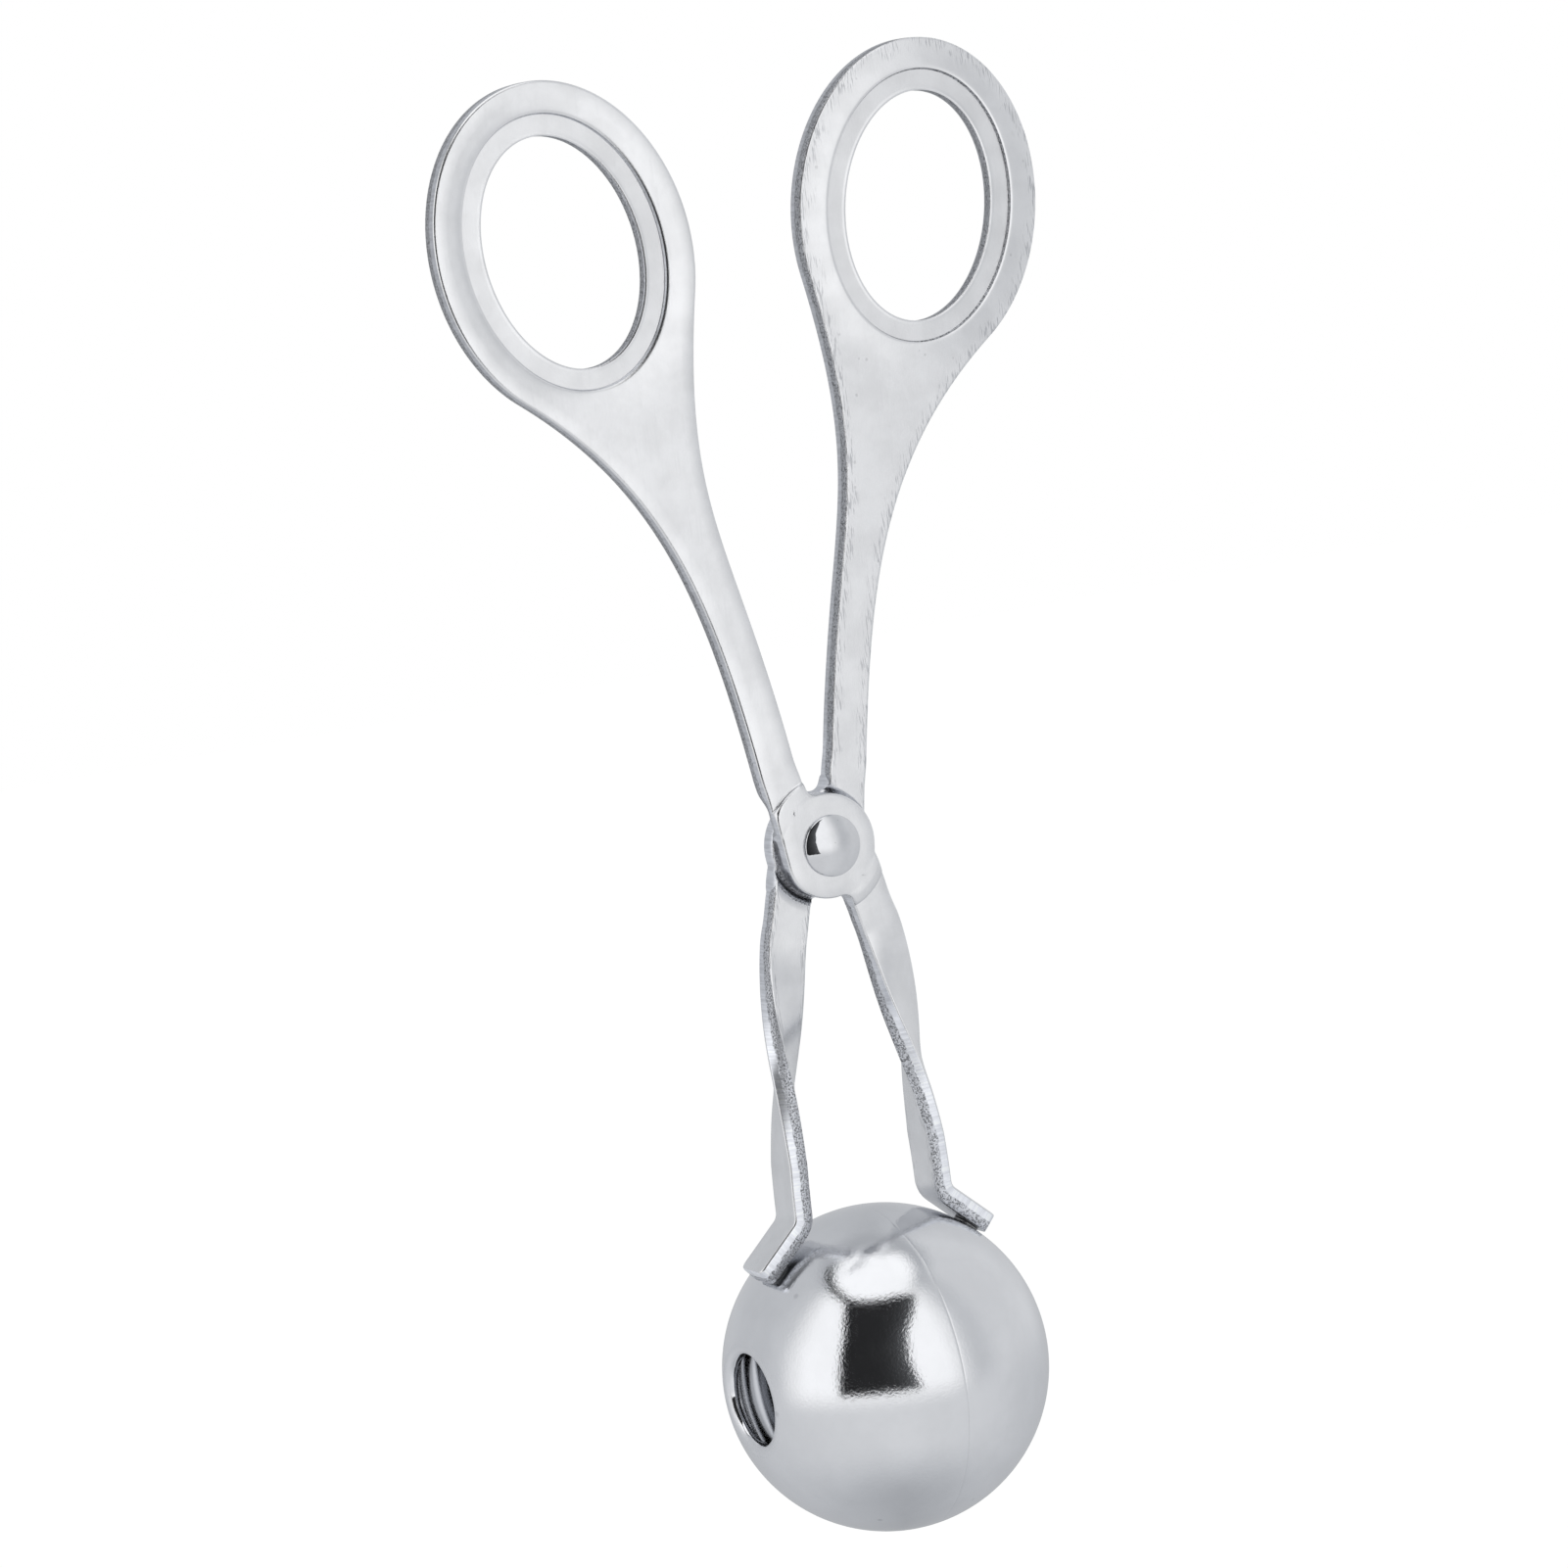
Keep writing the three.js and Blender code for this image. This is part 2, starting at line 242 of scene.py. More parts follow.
@dataclass
class MeshDraft:
    """Points and faces of a piece while it is drawn, with the values that its finish reads.

    Attributes:
        points: Places in millimetres.
        blanks: Each point's place in the flat sheet before it was formed.
        walls: 0 on a face of the sheet, about 0.4 on a floor pressed by coining, which the finish paints a
            little darker as shade, and 1 on its cut wall.
        edges: 1 at the sheet's outer edge, falling to 0 away from it.
        faces: Point numbers of each face.
    """

    points: list[np.ndarray] = field(default_factory=list)
    blanks: list[np.ndarray] = field(default_factory=list)
    walls: list[float] = field(default_factory=list)
    edges: list[float] = field(default_factory=list)
    faces: list[list[int]] = field(default_factory=list)

    def add(self, point: Sequence[float], blank: Sequence[float], wall: float, edge: float = 0.0) -> int:
        """Adds one point.

        Args:
            point: Its place.
            blank: Its place in the flat sheet.
            wall: Its wall value.
            edge: Its edge value.

        Returns:
            The point's number.
        """
        self.points.append(np.array(point, dtype=float))
        self.blanks.append(np.array(blank, dtype=float))
        self.walls.append(wall)
        self.edges.append(edge)
        return len(self.points) - 1

    def bridge(self, rows: Sequence[Sequence[int]], closed: bool) -> None:
        """Adds the faces between rows of the same length, each to the next.

        Args:
            rows: Point numbers of each row.
            closed: True where the rows are rings.
        """
        count = len(rows[0])
        for first, second in zip(rows, rows[1:]):
            for k in range(count if closed else count - 1):
                after = (k + 1) % count
                self.faces.append([first[k], first[after], second[after], second[k]])

    def to_object(self, name: str, place: Matrix) -> Object:
        """Makes a smooth mesh object with closed seams and outward faces.

        Args:
            name: The object's name.
            place: Where the drawn piece goes, in metres.

        Returns:
            The object, at the origin with its place in its mesh.
        """
        mesh = bpy.data.meshes.new(name)
        mesh.from_pydata([tuple(point * MM) for point in self.points], [], self.faces)
        blank = mesh.attributes.new("blank", "FLOAT_VECTOR", "POINT")
        blank.data.foreach_set("vector", np.array(self.blanks, dtype=np.float32).ravel())
        for label, values in {"wall": self.walls, "edge": self.edges}.items():
            layer = mesh.attributes.new(label, "FLOAT", "POINT")
            layer.data.foreach_set("value", np.array(values, dtype=np.float32))
        mesh.transform(place)
        return finished_object(name, mesh)


def linked(name: str, data: ID) -> Object:
    """Makes an object and links it to the scene.

    Args:
        name: The object's name.
        data: Its mesh or camera.

    Returns:
        The object.
    """
    piece = bpy.data.objects.new(name, data)
    bpy.context.scene.collection.objects.link(piece)
    return piece


def finished_object(name: str, mesh: Mesh) -> Object:
    """Closes a mesh's seams, turns its faces outwards, smooths it and links it.

    Args:
        name: The object's name.
        mesh: The mesh in its place.

    Returns:
        The new object.
    """
    work = bmesh.new()
    work.from_mesh(mesh)
    bmesh.ops.remove_doubles(work, verts=work.verts, dist=MERGE_DISTANCE)
    bmesh.ops.recalc_face_normals(work, faces=work.faces)
    for face in work.faces:
        face.smooth = True
    work.to_mesh(mesh)
    work.free()
    return linked(name, mesh)


# Node trees


class NodeBench:
    """Adds nodes to a tree and wires them, so that a graph reads as one call per node."""

    def __init__(self, tree: NodeTree) -> None:
        """Starts on a tree."""
        self.tree = tree

    def add(self, kind: str, inputs: dict[Any, Any] | None = None, **settings: Any) -> Node:
        """Adds one node.

        Args:
            kind: The node's type name.
            inputs: Socket name or number to a value, or to the socket that feeds it.
            settings: Properties of the node.

        Returns:
            The node.
        """
        node = self.tree.nodes.new(kind)
        for name, value in settings.items():
            setattr(node, name, value)
        for name, value in (inputs or {}).items():
            self.feed(node.inputs[name], value)
        return node

    def feed(self, socket: NodeSocket, value: Any) -> None:
        """Links a socket or sets its value.

        Args:
            socket: The input.
            value: A constant, or the output that feeds it.
        """
        if isinstance(value, NodeSocket):
            self.tree.links.new(value, socket)
        else:
            socket.default_value = value

    def math(self, operation: str, *values: Any) -> NodeSocket:
        """Adds a Math node, with its inputs in order, and gives its output."""
        return self.add("ShaderNodeMath", dict(enumerate(values)), operation=operation).outputs[0]

    def vector_math(self, operation: str, *values: Any) -> NodeSocket:
        """Adds a Vector Math node, with its inputs in order, and gives the output that its operation uses."""
        node = self.add("ShaderNodeVectorMath", dict(enumerate(values)), operation=operation)
        return node.outputs["Value" if operation == "LENGTH" else "Vector"]

    def attribute(self, name: str, output: str) -> NodeSocket:
        """Reads an attribute of the mesh."""
        return self.add("ShaderNodeAttribute", attribute_name=name).outputs[output]

    def ramp(self, value: Any, low: float, high: float, to_low: float = 0.0, to_high: float = 1.0) -> Any:
        """Maps a value smoothly from one range to another and gives the output."""
        inputs = {"Value": value, "From Min": low, "From Max": high, "To Min": to_low, "To Max": to_high}
        return self.add("ShaderNodeMapRange", inputs, interpolation_type="SMOOTHSTEP").outputs["Result"]

    def mix_value(self, share: Any, first: Any, second: Any) -> NodeSocket:
        """Mixes two values and gives the output."""
        return self.add("ShaderNodeMix", {0: share, 2: first, 3: second}, data_type="FLOAT").outputs[0]

    def mix_colour(self, share: Any, first: Any, second: Any) -> NodeSocket:
        """Mixes two colours and gives the output."""
        return self.add("ShaderNodeMix", {0: share, 6: first, 7: second}, data_type="RGBA").outputs[2]

    def mix_greys(self, share: Any, span: Span, cool: float) -> NodeSocket:
        """Mixes the darkest and the lightest grey of a span, both leaning to blue, and gives the output."""
        return self.mix_colour(share, grey(span[0], cool), grey(span[1], cool))

    def parts(self, vector: Any) -> Any:
        """Splits a vector and gives the outputs X, Y and Z."""
        return self.add("ShaderNodeSeparateXYZ", {0: vector}).outputs

    def noise(self, vector: Any, scale: Any, detail: float = 2.0, roughness: float = 0.5) -> Any:
        """Adds a noise texture and gives its value."""
        inputs = {"Vector": vector, "Scale": scale, "Detail": detail, "Roughness": roughness}
        return self.add("ShaderNodeTexNoise", inputs).outputs[0]

    def stretched(self, vector: Any, scale: Sequence[float], turn: Sequence[float] = (0.0, 0.0, 0.0)) -> Any:
        """Stretches a vector along each axis and turns it about each axis by degrees."""
        inputs = {"Vector": vector, "Scale": tuple(scale), "Rotation": tuple(map(math.radians, turn))}
        return self.add("ShaderNodeMapping", inputs).outputs[0]

    def bump(self, strength: float, depth: float, height: Any) -> NodeSocket:
        """Adds a bump of a depth in millimetres and gives its normal."""
        inputs = {"Strength": strength, "Distance": depth * MM, "Height": height}
        return self.add("ShaderNodeBump", inputs).outputs[0]


def new_group(name: str, inputs: dict[str, str], outputs: dict[str, str], kind: str) -> NodeTree:
    """Starts a node group.

    Args:
        name: The group's name.
        inputs: Input names and their socket types.
        outputs: Output names and their socket types.
        kind: The tree type.

    Returns:
        The empty group with its sockets.
    """
    group = bpy.data.node_groups.new(name, kind)
    for label, socket in inputs.items():
        group.interface.new_socket(label, in_out="INPUT", socket_type=socket)
    for label, socket in outputs.items():
        group.interface.new_socket(label, in_out="OUTPUT", socket_type=socket)
    return group


def grain_group() -> NodeTree:
    """Builds the group for the cloudy tone and fine grain of rolled or polished steel.

    Returns:
        A group that gives a tone from 0 to 1 and a grain height.
    """
    inputs = {"Vector": VECTOR, "Cloud Scale": VALUE, "Grain Scale": VALUE}
    outputs = {"Tone": VALUE, "Grain": VALUE}
    group = new_group("Steel Grain", inputs, outputs, "ShaderNodeTree")
    bench = NodeBench(group)
    source = bench.add("NodeGroupInput").outputs
    cloud = bench.noise(source["Vector"], source["Cloud Scale"], detail=4.0, roughness=0.6)
    grain = bench.noise(source["Vector"], source["Grain Scale"], detail=3.0, roughness=0.6)
    bench.add("NodeGroupOutput", {"Tone": bench.ramp(cloud, 0.3, 0.7), "Grain": grain})
    return group


def scratch_group() -> NodeTree:
    """Builds the group for scattered hairline scratches and small dark pits.

    Returns:
        A group that gives a scratch mask and a pit mask.
    """
    inputs = {"Vector": VECTOR, "Pit Scale": VALUE, "Line Scale": VALUE}
    outputs = {"Scratches": VALUE, "Pits": VALUE}
    group = new_group("Steel Marks", inputs, outputs, "ShaderNodeTree")
    bench = NodeBench(group)
    source = bench.add("NodeGroupInput").outputs
    layers = []
    for turn, stretch in ((24.0, 0.06), (-38.0, 0.05), (71.0, 0.07)):
        lay = bench.stretched(source["Vector"], (1.0, 1.0, stretch), (0.0, turn, 0.0))
        lines = bench.noise(lay, source["Line Scale"], detail=1.0)
        layers.append(bench.ramp(lines, 0.66, 0.74))
    scratches = bench.math("MAXIMUM", bench.math("MAXIMUM", layers[0], layers[1]), layers[2])
    cells = bench.add("ShaderNodeTexVoronoi", {"Vector": source["Vector"], "Scale": source["Pit Scale"]})
    chosen = bench.math("GREATER_THAN", cells.outputs["Color"], 0.72)
    dots = bench.ramp(cells.outputs["Distance"], 0.07, 0.16, 1.0, 0.0)
    bench.add("NodeGroupOutput", {"Scratches": scratches, "Pits": bench.math("MULTIPLY", dots, chosen)})
    return group


@dataclass(frozen=True)
class SharedEffects:
    """The shader groups that more than one finish uses."""

    grain: NodeTree
    marks: NodeTree

    @classmethod
    def build(cls) -> "SharedEffects":
        """Builds each group once."""
        return cls(grain_group(), scratch_group())

    def add_grain(self, bench: NodeBench, place: Any, scales: Span) -> Any:
        """Adds the grain group with its cloud and grain scales and gives its outputs."""
        inputs = {"Vector": place, "Cloud Scale": scales[0], "Grain Scale": scales[1]}
        return bench.add("ShaderNodeGroup", inputs, node_tree=self.grain).outputs

    def add_marks(self, bench: NodeBench, place: Any, scales: Span) -> Any:
        """Adds the marks group with its pit and line scales and gives its outputs."""
        inputs = {"Vector": place, "Pit Scale": scales[0], "Line Scale": scales[1]}
        return bench.add("ShaderNodeGroup", inputs, node_tree=self.marks).outputs


def new_material(name: str) -> tuple[Material, NodeBench, Node]:
    """Starts a metal material.

    Args:
        name: The material's name.

    Returns:
        The material, a bench on its tree and its Principled BSDF.
    """
    material = bpy.data.materials.new(name)
    material.use_nodes = True
    bench = NodeBench(material.node_tree)
    shader = material.node_tree.nodes["Principled BSDF"]
    shader.inputs["Metallic"].default_value = 1.0
    return material, bench, shader


def wire_metal(bench: NodeBench, shader: Node, colour: Any, roughness: Any, normal: Any) -> None:
    """Feeds a metal's colour, roughness and normal."""
    for name, value in {"Base Color": colour, "Roughness": roughness, "Normal": normal}.items():
        bench.feed(shader.inputs[name], value)


def grey(value: float, cool: float = 0.0) -> tuple[float, float, float, float]:
    """A grey, with its blue part raised and its red part a little lowered by a share."""
    return (value * (1.0 - 0.4 * cool), value, min(1.0, value * (1.0 + cool)), 1.0)


@dataclass(frozen=True)
class SatinSheet:
    """Tumbled stainless sheet with sheared walls: a smooth cut band, then a torn one at the burr side.

    Attributes:
        face, cut, torn: Darkest and lightest grey of the faces, the smooth cut band and the torn band.
        coined_shade: How light a floor pressed by coining is, as a share of the faces: a painted shade beside
            the rebate's step.
        pitted, filed: Grey of the pits, and of the filing marks along the edges of the faces.
        tumbled, rubbed: How much lighter the walls of the leg and those round the pivot are than the others.
        leg_fade, shank_fade: Heights between which the walls' tone changes below and above the pivot.
        tear_depth, tear_wander: Where the tear starts from the sheet's middle, and how far that wanders.
        tear_edge: Half the width of the line between the two bands.
        relief: Depth of the grain and the tear.
        grain_scales, mark_scales: Scales of the tone and the grain, and of the pits and the scratches.
        cool, wall_cool: How far the grey of the faces and of the walls leans to blue.
    """

    face: Span = (0.74, 0.81)
    cut: Span = (0.50, 0.62)
    torn: Span = (0.13, 0.48)
    coined_shade: float = 0.96
    pitted: float = 0.3
    filed: float = 0.42
    tumbled: float = 1.6
    rubbed: float = 1.22
    leg_fade: Span = (-28.0, -14.0)
    shank_fade: Span = (6.0, 16.0)
    face_roughness: float = 0.23
    cut_roughness: float = 0.30
    torn_roughness: float = 0.40
    tear_depth: float = -0.02
    tear_wander: float = 0.7
    tear_edge: float = 0.06
    relief: float = 0.016
    grain_scales: Span = (0.22, 6.0)
    mark_scales: Span = (0.6, 2.6)
    cool: float = 0.022
    wall_cool: float = 0.06

    def build(self, effects: SharedEffects) -> Material:
        """Builds the material.

        Args:
            effects: The shared shader groups.

        Returns:
            The material.
        """
        material, bench, shader = new_material("satin_sheet_steel")
        blank = bench.attribute("blank", "Vector")
        wall, edge = bench.attribute("wall", "Fac"), bench.attribute("edge", "Fac")
        place = bench.parts(blank)
        depth, rise = place["Y"], place["Z"]
        on_wall = bench.ramp(wall, 0.6, 0.95)
        on_floor = bench.ramp(wall, 0.15, 0.4)
        grain = effects.add_grain(bench, blank, self.grain_scales)
        marks = effects.add_marks(bench, blank, self.mark_scales)
        pits, scratches = marks["Pits"], marks["Scratches"]

        face = bench.mix_greys(grain["Tone"], self.face, self.cool)
        # The coining's floor is painted a little darker: painted shade beside the rebate's step.
        floor = bench.math("MULTIPLY_ADD", on_floor, self.coined_shade - 1.0, 1.0)
        face = bench.mix_colour(floor, grey(0.0), face)
        face = bench.mix_colour(bench.math("MULTIPLY", pits, 0.25), face, grey(self.pitted, self.cool))
        hairs = bench.noise(bench.stretched(blank, (1.0, 1.0, 0.09), (0.0, 8.0, 0.0)), 5.5)
        filed = bench.math("MULTIPLY", bench.ramp(hairs, 0.53, 0.62), bench.ramp(edge, 0.05, 0.55))
        filed = bench.math("MULTIPLY", filed, bench.ramp(depth, 0.6, 1.1))
        face = bench.mix_colour(bench.math("MULTIPLY", filed, 0.65), face, grey(self.filed, self.wall_cool))

        stipple = bench.ramp(bench.noise(blank, 4.8, roughness=0.6), 0.34, 0.58)
        lines = bench.noise(bench.stretched(blank, (1.0, 0.07, 1.0)), 3.2, roughness=0.6)
        wander = bench.math("MULTIPLY_ADD", bench.noise(blank, 0.9, detail=3.0), self.tear_wander, depth)
        middle = self.tear_depth + self.tear_wander / 2
        torn = bench.ramp(wander, middle - self.tear_edge, middle + self.tear_edge)
        cut_colour = bench.mix_greys(bench.ramp(lines, 0.35, 0.65), self.cut, self.wall_cool)
        torn_colour = bench.mix_greys(stipple, self.torn, self.wall_cool)
        wall_colour = bench.mix_colour(torn, cut_colour, torn_colour)
        leg_tone = bench.ramp(rise, *self.leg_fade, self.tumbled, self.rubbed)
        shank_tone = bench.ramp(rise, *self.shank_fade, self.tumbled, 1.0)
        scaled = {0: wall_colour, "Scale": bench.math("MINIMUM", leg_tone, shank_tone)}
        wall_colour = bench.add("ShaderNodeVectorMath", scaled, operation="SCALE").outputs[0]
        colour = bench.mix_colour(on_wall, face, wall_colour)

        face_rough = bench.math("MULTIPLY_ADD", scratches, 0.04, self.face_roughness)
        wall_rough = bench.mix_value(torn, self.cut_roughness, self.torn_roughness)
        rough = bench.mix_value(on_wall, face_rough, wall_rough)

        face_height = grain["Grain"]
        for mark, height in ((scratches, -0.12), (pits, -0.9), (filed, -0.5)):
            face_height = bench.math("MULTIPLY_ADD", mark, height, face_height)
        torn_height = bench.math("MULTIPLY", stipple, 4.0)
        wall_height = bench.mix_value(torn, bench.math("MULTIPLY", lines, 1.5), torn_height)
        height = bench.mix_value(on_wall, face_height, wall_height)
        wire_metal(bench, shader, colour, rough, bench.bump(0.5, self.relief, height))
        return material


@dataclass(frozen=True)
class PolishedCup:
    """Pressed and polished stainless: a fine grain outside, a brushed lip round the vent, a mirror inside.

    Attributes:
        tone, spun: Darkest and lightest grey outside, and of the spinning marks inside.
        dull, inner_shade_fade: Grey of the less polished band inside the rim, and the distances where it
            ends.
        pitted: Grey of the pits.
        lip_radius, lip_fade: How far from the vent's axis the brushed lip reaches, and its soft edge.
        dull, inner_shade_fade: Grey of the band inside the rim, painted darker as the shade deep in the
            hollow ball, and the distances where it ends.
        grain_scales, mark_scales: Scales of the tone and the grain, and of the pits and the scratches.
        cool: How far the grey leans to blue.
    """

    ball_radius: float = 19.8
    wall: float = 1.0
    tone: Span = (0.72, 0.76)
    spun: Span = (0.74, 0.88)
    inner_shade: float = 0.5
    inner_shade_fade: Span = (8.2, 9.6)
    pitted: float = 0.35
    roughness: float = 0.075
    inner_roughness: float = 0.07
    lip_roughness: float = 0.42
    lip_radius: float = 7.2
    lip_fade: float = 0.5
    skin_fade: float = 0.3
    grain_depth: float = 0.03
    grain_scales: Span = (160.0, 2900.0)
    mark_scales: Span = (330.0, 1100.0)
    cool: float = 0.034

    def build(self, effects: SharedEffects) -> Material:
        """Builds the material.

        Args:
            effects: The shared shader groups.

        Returns:
            The material.
        """
        material, bench, shader = new_material("polished_cup_steel")
        place = bench.add("ShaderNodeTexCoord").outputs["Object"]
        grain = effects.add_grain(bench, place, self.grain_scales)
        marks = effects.add_marks(bench, place, self.mark_scales)
        tone = bench.mix_greys(grain["Tone"], self.tone, self.cool)
        pits = bench.math("MULTIPLY", marks["Pits"], 0.3)
        tone = bench.mix_colour(pits, tone, grey(self.pitted, self.cool))

        from_centre = bench.vector_math("SUBTRACT", place, (0.0, 0.0, self.ball_radius * MM))
        skin = (self.ball_radius - self.wall / 2) * MM
        reach = bench.vector_math("LENGTH", from_centre)
        inside = bench.ramp(reach, skin - self.skin_fade * MM, skin, 1.0, 0.0)
        outside = bench.math("SUBTRACT", 1.0, inside)
        along = bench.stretched(place, (1.0, 0.02, 0.02))
        rings = bench.ramp(bench.noise(along, 420.0, detail=3.0, roughness=0.55), 0.38, 0.66)
        spun = bench.mix_greys(rings, self.spun, self.cool)
        # The band inside the rim, deep in the hollow ball, is painted a darker grey: painted shade.
        from_rim = bench.math("ABSOLUTE", bench.parts(place)["X"])
        inner_shade = bench.ramp(from_rim, self.inner_shade_fade[0] * MM, self.inner_shade_fade[1] * MM, 1.0, 0.0)
        spun = bench.mix_colour(inner_shade, spun, grey(self.inner_shade, self.cool))
        colour = bench.mix_colour(inside, tone, spun)

        rough = bench.math("MULTIPLY_ADD", grain["Tone"], 0.03, self.roughness)
        rough = bench.math("MULTIPLY_ADD", marks["Scratches"], 0.04, rough)
        off_axis = bench.vector_math("LENGTH", bench.vector_math("MULTIPLY", from_centre, (0.0, 1.0, 1.0)))
        lip = bench.ramp(off_axis, (self.lip_radius - self.lip_fade) * MM, self.lip_radius * MM, 1.0, 0.0)
        rough = bench.mix_value(bench.math("MULTIPLY", lip, outside), rough, self.lip_roughness)
        rough = bench.mix_value(inside, rough, self.inner_roughness)
        height = bench.math("MULTIPLY", grain["Grain"], outside)
        wire_metal(bench, shader, colour, rough, bench.bump(0.5, self.grain_depth, height))
        return material


@dataclass(frozen=True)
class WorkedSteel:
    """Steel of a small piece that was upset or fused in place, with a grain and, on some, small pits.

    Attributes:
        tone: Darkest and lightest grey.
        roughness, spread: Roughness of the darkest places, and how much rougher the lightest are.
        grain_scales, mark_scales: As for a cup, with no marks for steel without pits.
        pitted: Grey of the pits.
        cool: How far the grey leans to blue.
    """

    name: str
    tone: Span
    roughness: float
    spread: float
    grain_scales: Span
    grain_strength: float
    grain_depth: float
    mark_scales: Span | None = None
    pitted: float = 0.25
    cool: float = 0.0

    def build(self, effects: SharedEffects) -> Material:
        """Builds the material.

        Args:
            effects: The shared shader groups.

        Returns:
            The material.
        """
        material, bench, shader = new_material(self.name)
        place = bench.add("ShaderNodeTexCoord").outputs["Object"]
        grain = effects.add_grain(bench, place, self.grain_scales)
        tone = bench.mix_greys(grain["Tone"], self.tone, self.cool)
        if self.mark_scales:
            pits = effects.add_marks(bench, place, self.mark_scales)["Pits"]
            tone = bench.mix_colour(bench.math("MULTIPLY", pits, 0.5), tone, grey(self.pitted))
        rough = bench.math("MULTIPLY_ADD", grain["Tone"], self.spread, self.roughness)
        bump = bench.bump(self.grain_strength, self.grain_depth, grain["Grain"])
        wire_metal(bench, shader, tone, rough, bump)
        return material


# The smooth head of the rivet, and the matt, darker bead of a spot weld.
RIVET_STEEL = WorkedSteel(
    name="rivet_head_steel",
    tone=(0.66, 0.71),
    roughness=0.025,
    spread=0.03,
    grain_scales=(500.0, 4200.0),
    grain_strength=0.4,
    grain_depth=0.004,
    mark_scales=(1300.0, 1800.0),
    cool=0.034,
)
WELD_STEEL = WorkedSteel(
    name="spot_weld_steel",
    tone=(0.22, 0.45),
    roughness=0.38,
    spread=0.1,
    grain_scales=(700.0, 3000.0),
    grain_strength=0.6,
    grain_depth=0.02,
)


# Stamped arms


@dataclass(frozen=True)
class EdgeStop:
    """One stop of an edge section: how far in from the edge, how deep in the sheet, and its wall value."""

    inset: float
    height: float
    wall: float


@dataclass
class StampedArm:
    """An arm stamped from sheet and formed: finger ring, neck, shank, pushed-out boss, twisted leg and foot.

    It is drawn as the front arm, round the pivot, with its handle to the left and its leg to the right.
    """

    pivot_rise: float = 84.1
    ball_radius: float = 19.8
    sheet: float = 2.5

    # The sheet's edge section
    roll_width: float = 0.34
    roll_depth: float = 0.30
    crown_width: float = 1.3
    crown_drop: float = 0.07
    burr_bevel: float = 0.06
    bevel_lean: float = 2.8
    tear_taper: float = 0.05
    tear_height: float = 0.15
    land: float = 0.12
    roll_steps: int = 5

    # The boss's step, the recess behind it and the arm's set; a sweep is two bearings, each with its run
    boss_radius: float = 6.3
    boss_fillet: float = 1.6
    step_height: float = 0.7
    step_radius: float = 8.3
    shoulder_run: float = 0.22
    shoulder_fade: float = 1.2
    fade_power: int = 6
    shoulder_soft: float = 1.1
    soft_fade: Span = (1.0, 4.0)
    recess_radius: float = 8.4
    recess_run: float = 1.9
    recess_power: int = 4
    recess_fill: float = 1.8
    fill_sweep: Sweep = (96.0, 28.0, 205.0, 25.0)
    recess_margin: float = 0.6
    margin_run: float = 0.5
    gap_radius: float = 7.0
    gap_run: float = 0.5
    shank_gap: float = 0.45
    leg_gap_run: float = 2.0
    relief_depth: float = 0.0
    relief_reach: float = 10.2
    relief_run: float = 1.9
    relief_rim: float = 0.2
    whole_sweep: Sweep = (240.0, 10.0, 316.0, 18.0)
    groove_depth: float = 0.25
    groove_radius: float = 5.4
    groove_run: float = 0.7
    groove_past: float = 0.1
    burnish_depth: float = 1.3
    burnish_past: float = 0.4
    burnish_run: float = 1.4
    set_height: float = 0.6
    set_radius: float = 24.0
    set_lean: float = 0.4
    lean_run: float = 3.5
    cheek_drop: float = 1.7
    cheek_angle: float = 235.0

    # The finger ring and its hole
    ring_reach: float = 23.5
    ring_rise: float = 73.7
    ring_tilt: float = 12.7
    hole_half_width: float = 9.9
    hole_half_length: float = 13.75
    rebate_width: float = 2.6
    rebate_depth: float = 0.5
    rebate_round: float = 0.12
    hole_round: float = 0.07
    # How much deeper the finish reads the hole's walls, so they take the torn band, and the rebate's steps
    # too, whose dark torn grey is painted shade.
    hole_tear_and_step_shade: float = 0.4
    hole_crown: float = 0.03
    hole_crown_insets: tuple[float, float, float] = (1.1, 0.75, 0.4)
    hole_ridge: float = 0.04
    hole_ridge_insets: tuple[float, float, float] = (0.5, 0.4, 0.2)
    ring_band: float = 3.7
    ring_dish: float = 0.34
    dish_bend: float = 1.6

    # The neck and the shank
    shank_root_rise: float = 8.0
    shank_root_reach: float = 4.62
    shank_width: float = 4.9
    shank_outer_lean: float = 8.4
    shank_outer_pull: float = 23.0
    neck_outer_angle: float = 227.0
    neck_outer_pull: float = 20.0
    shank_inner_lean: float = 8.0
    shank_inner_pull: float = 31.0
    neck_inner_angle: float = -29.0
    neck_inner_pull: float = 27.5
    cut_radius: float = 10.2
    cut_blend: float = 3.0

    # The leg and its foot
    leg_width: float = 5.2
    leg_root_drop: float = 10.0
    leg_root_reach: float = 6.2
    leg_lean: float = 19.0
    leg_reach: float = 9.7
    leg_start_pull: float = 4.0
    leg_end_pull: float = 10.0
    twist_start: float = 1.0
    twist_length: float = 26.5
    twist_angle: float = 90.0
    twist_ease: float = 0.35
    foot_angle: float = 42.0
    foot_length: float = 8.0
    foot_bend_radius: float = 2.6
    foot_corner: float = 0.9
    foot_lift: float = 0.3
    tip_shares: tuple[float, ...] = (0.2, 0.4, 0.6, 0.75, 0.87, 0.95, 1.0)
    tip_blunt: float = 0.96
    tip_pinch: float = 0.12
    pinch_fade: Span = (0.85, 0.15)
    pinch_wall: float = 20.0

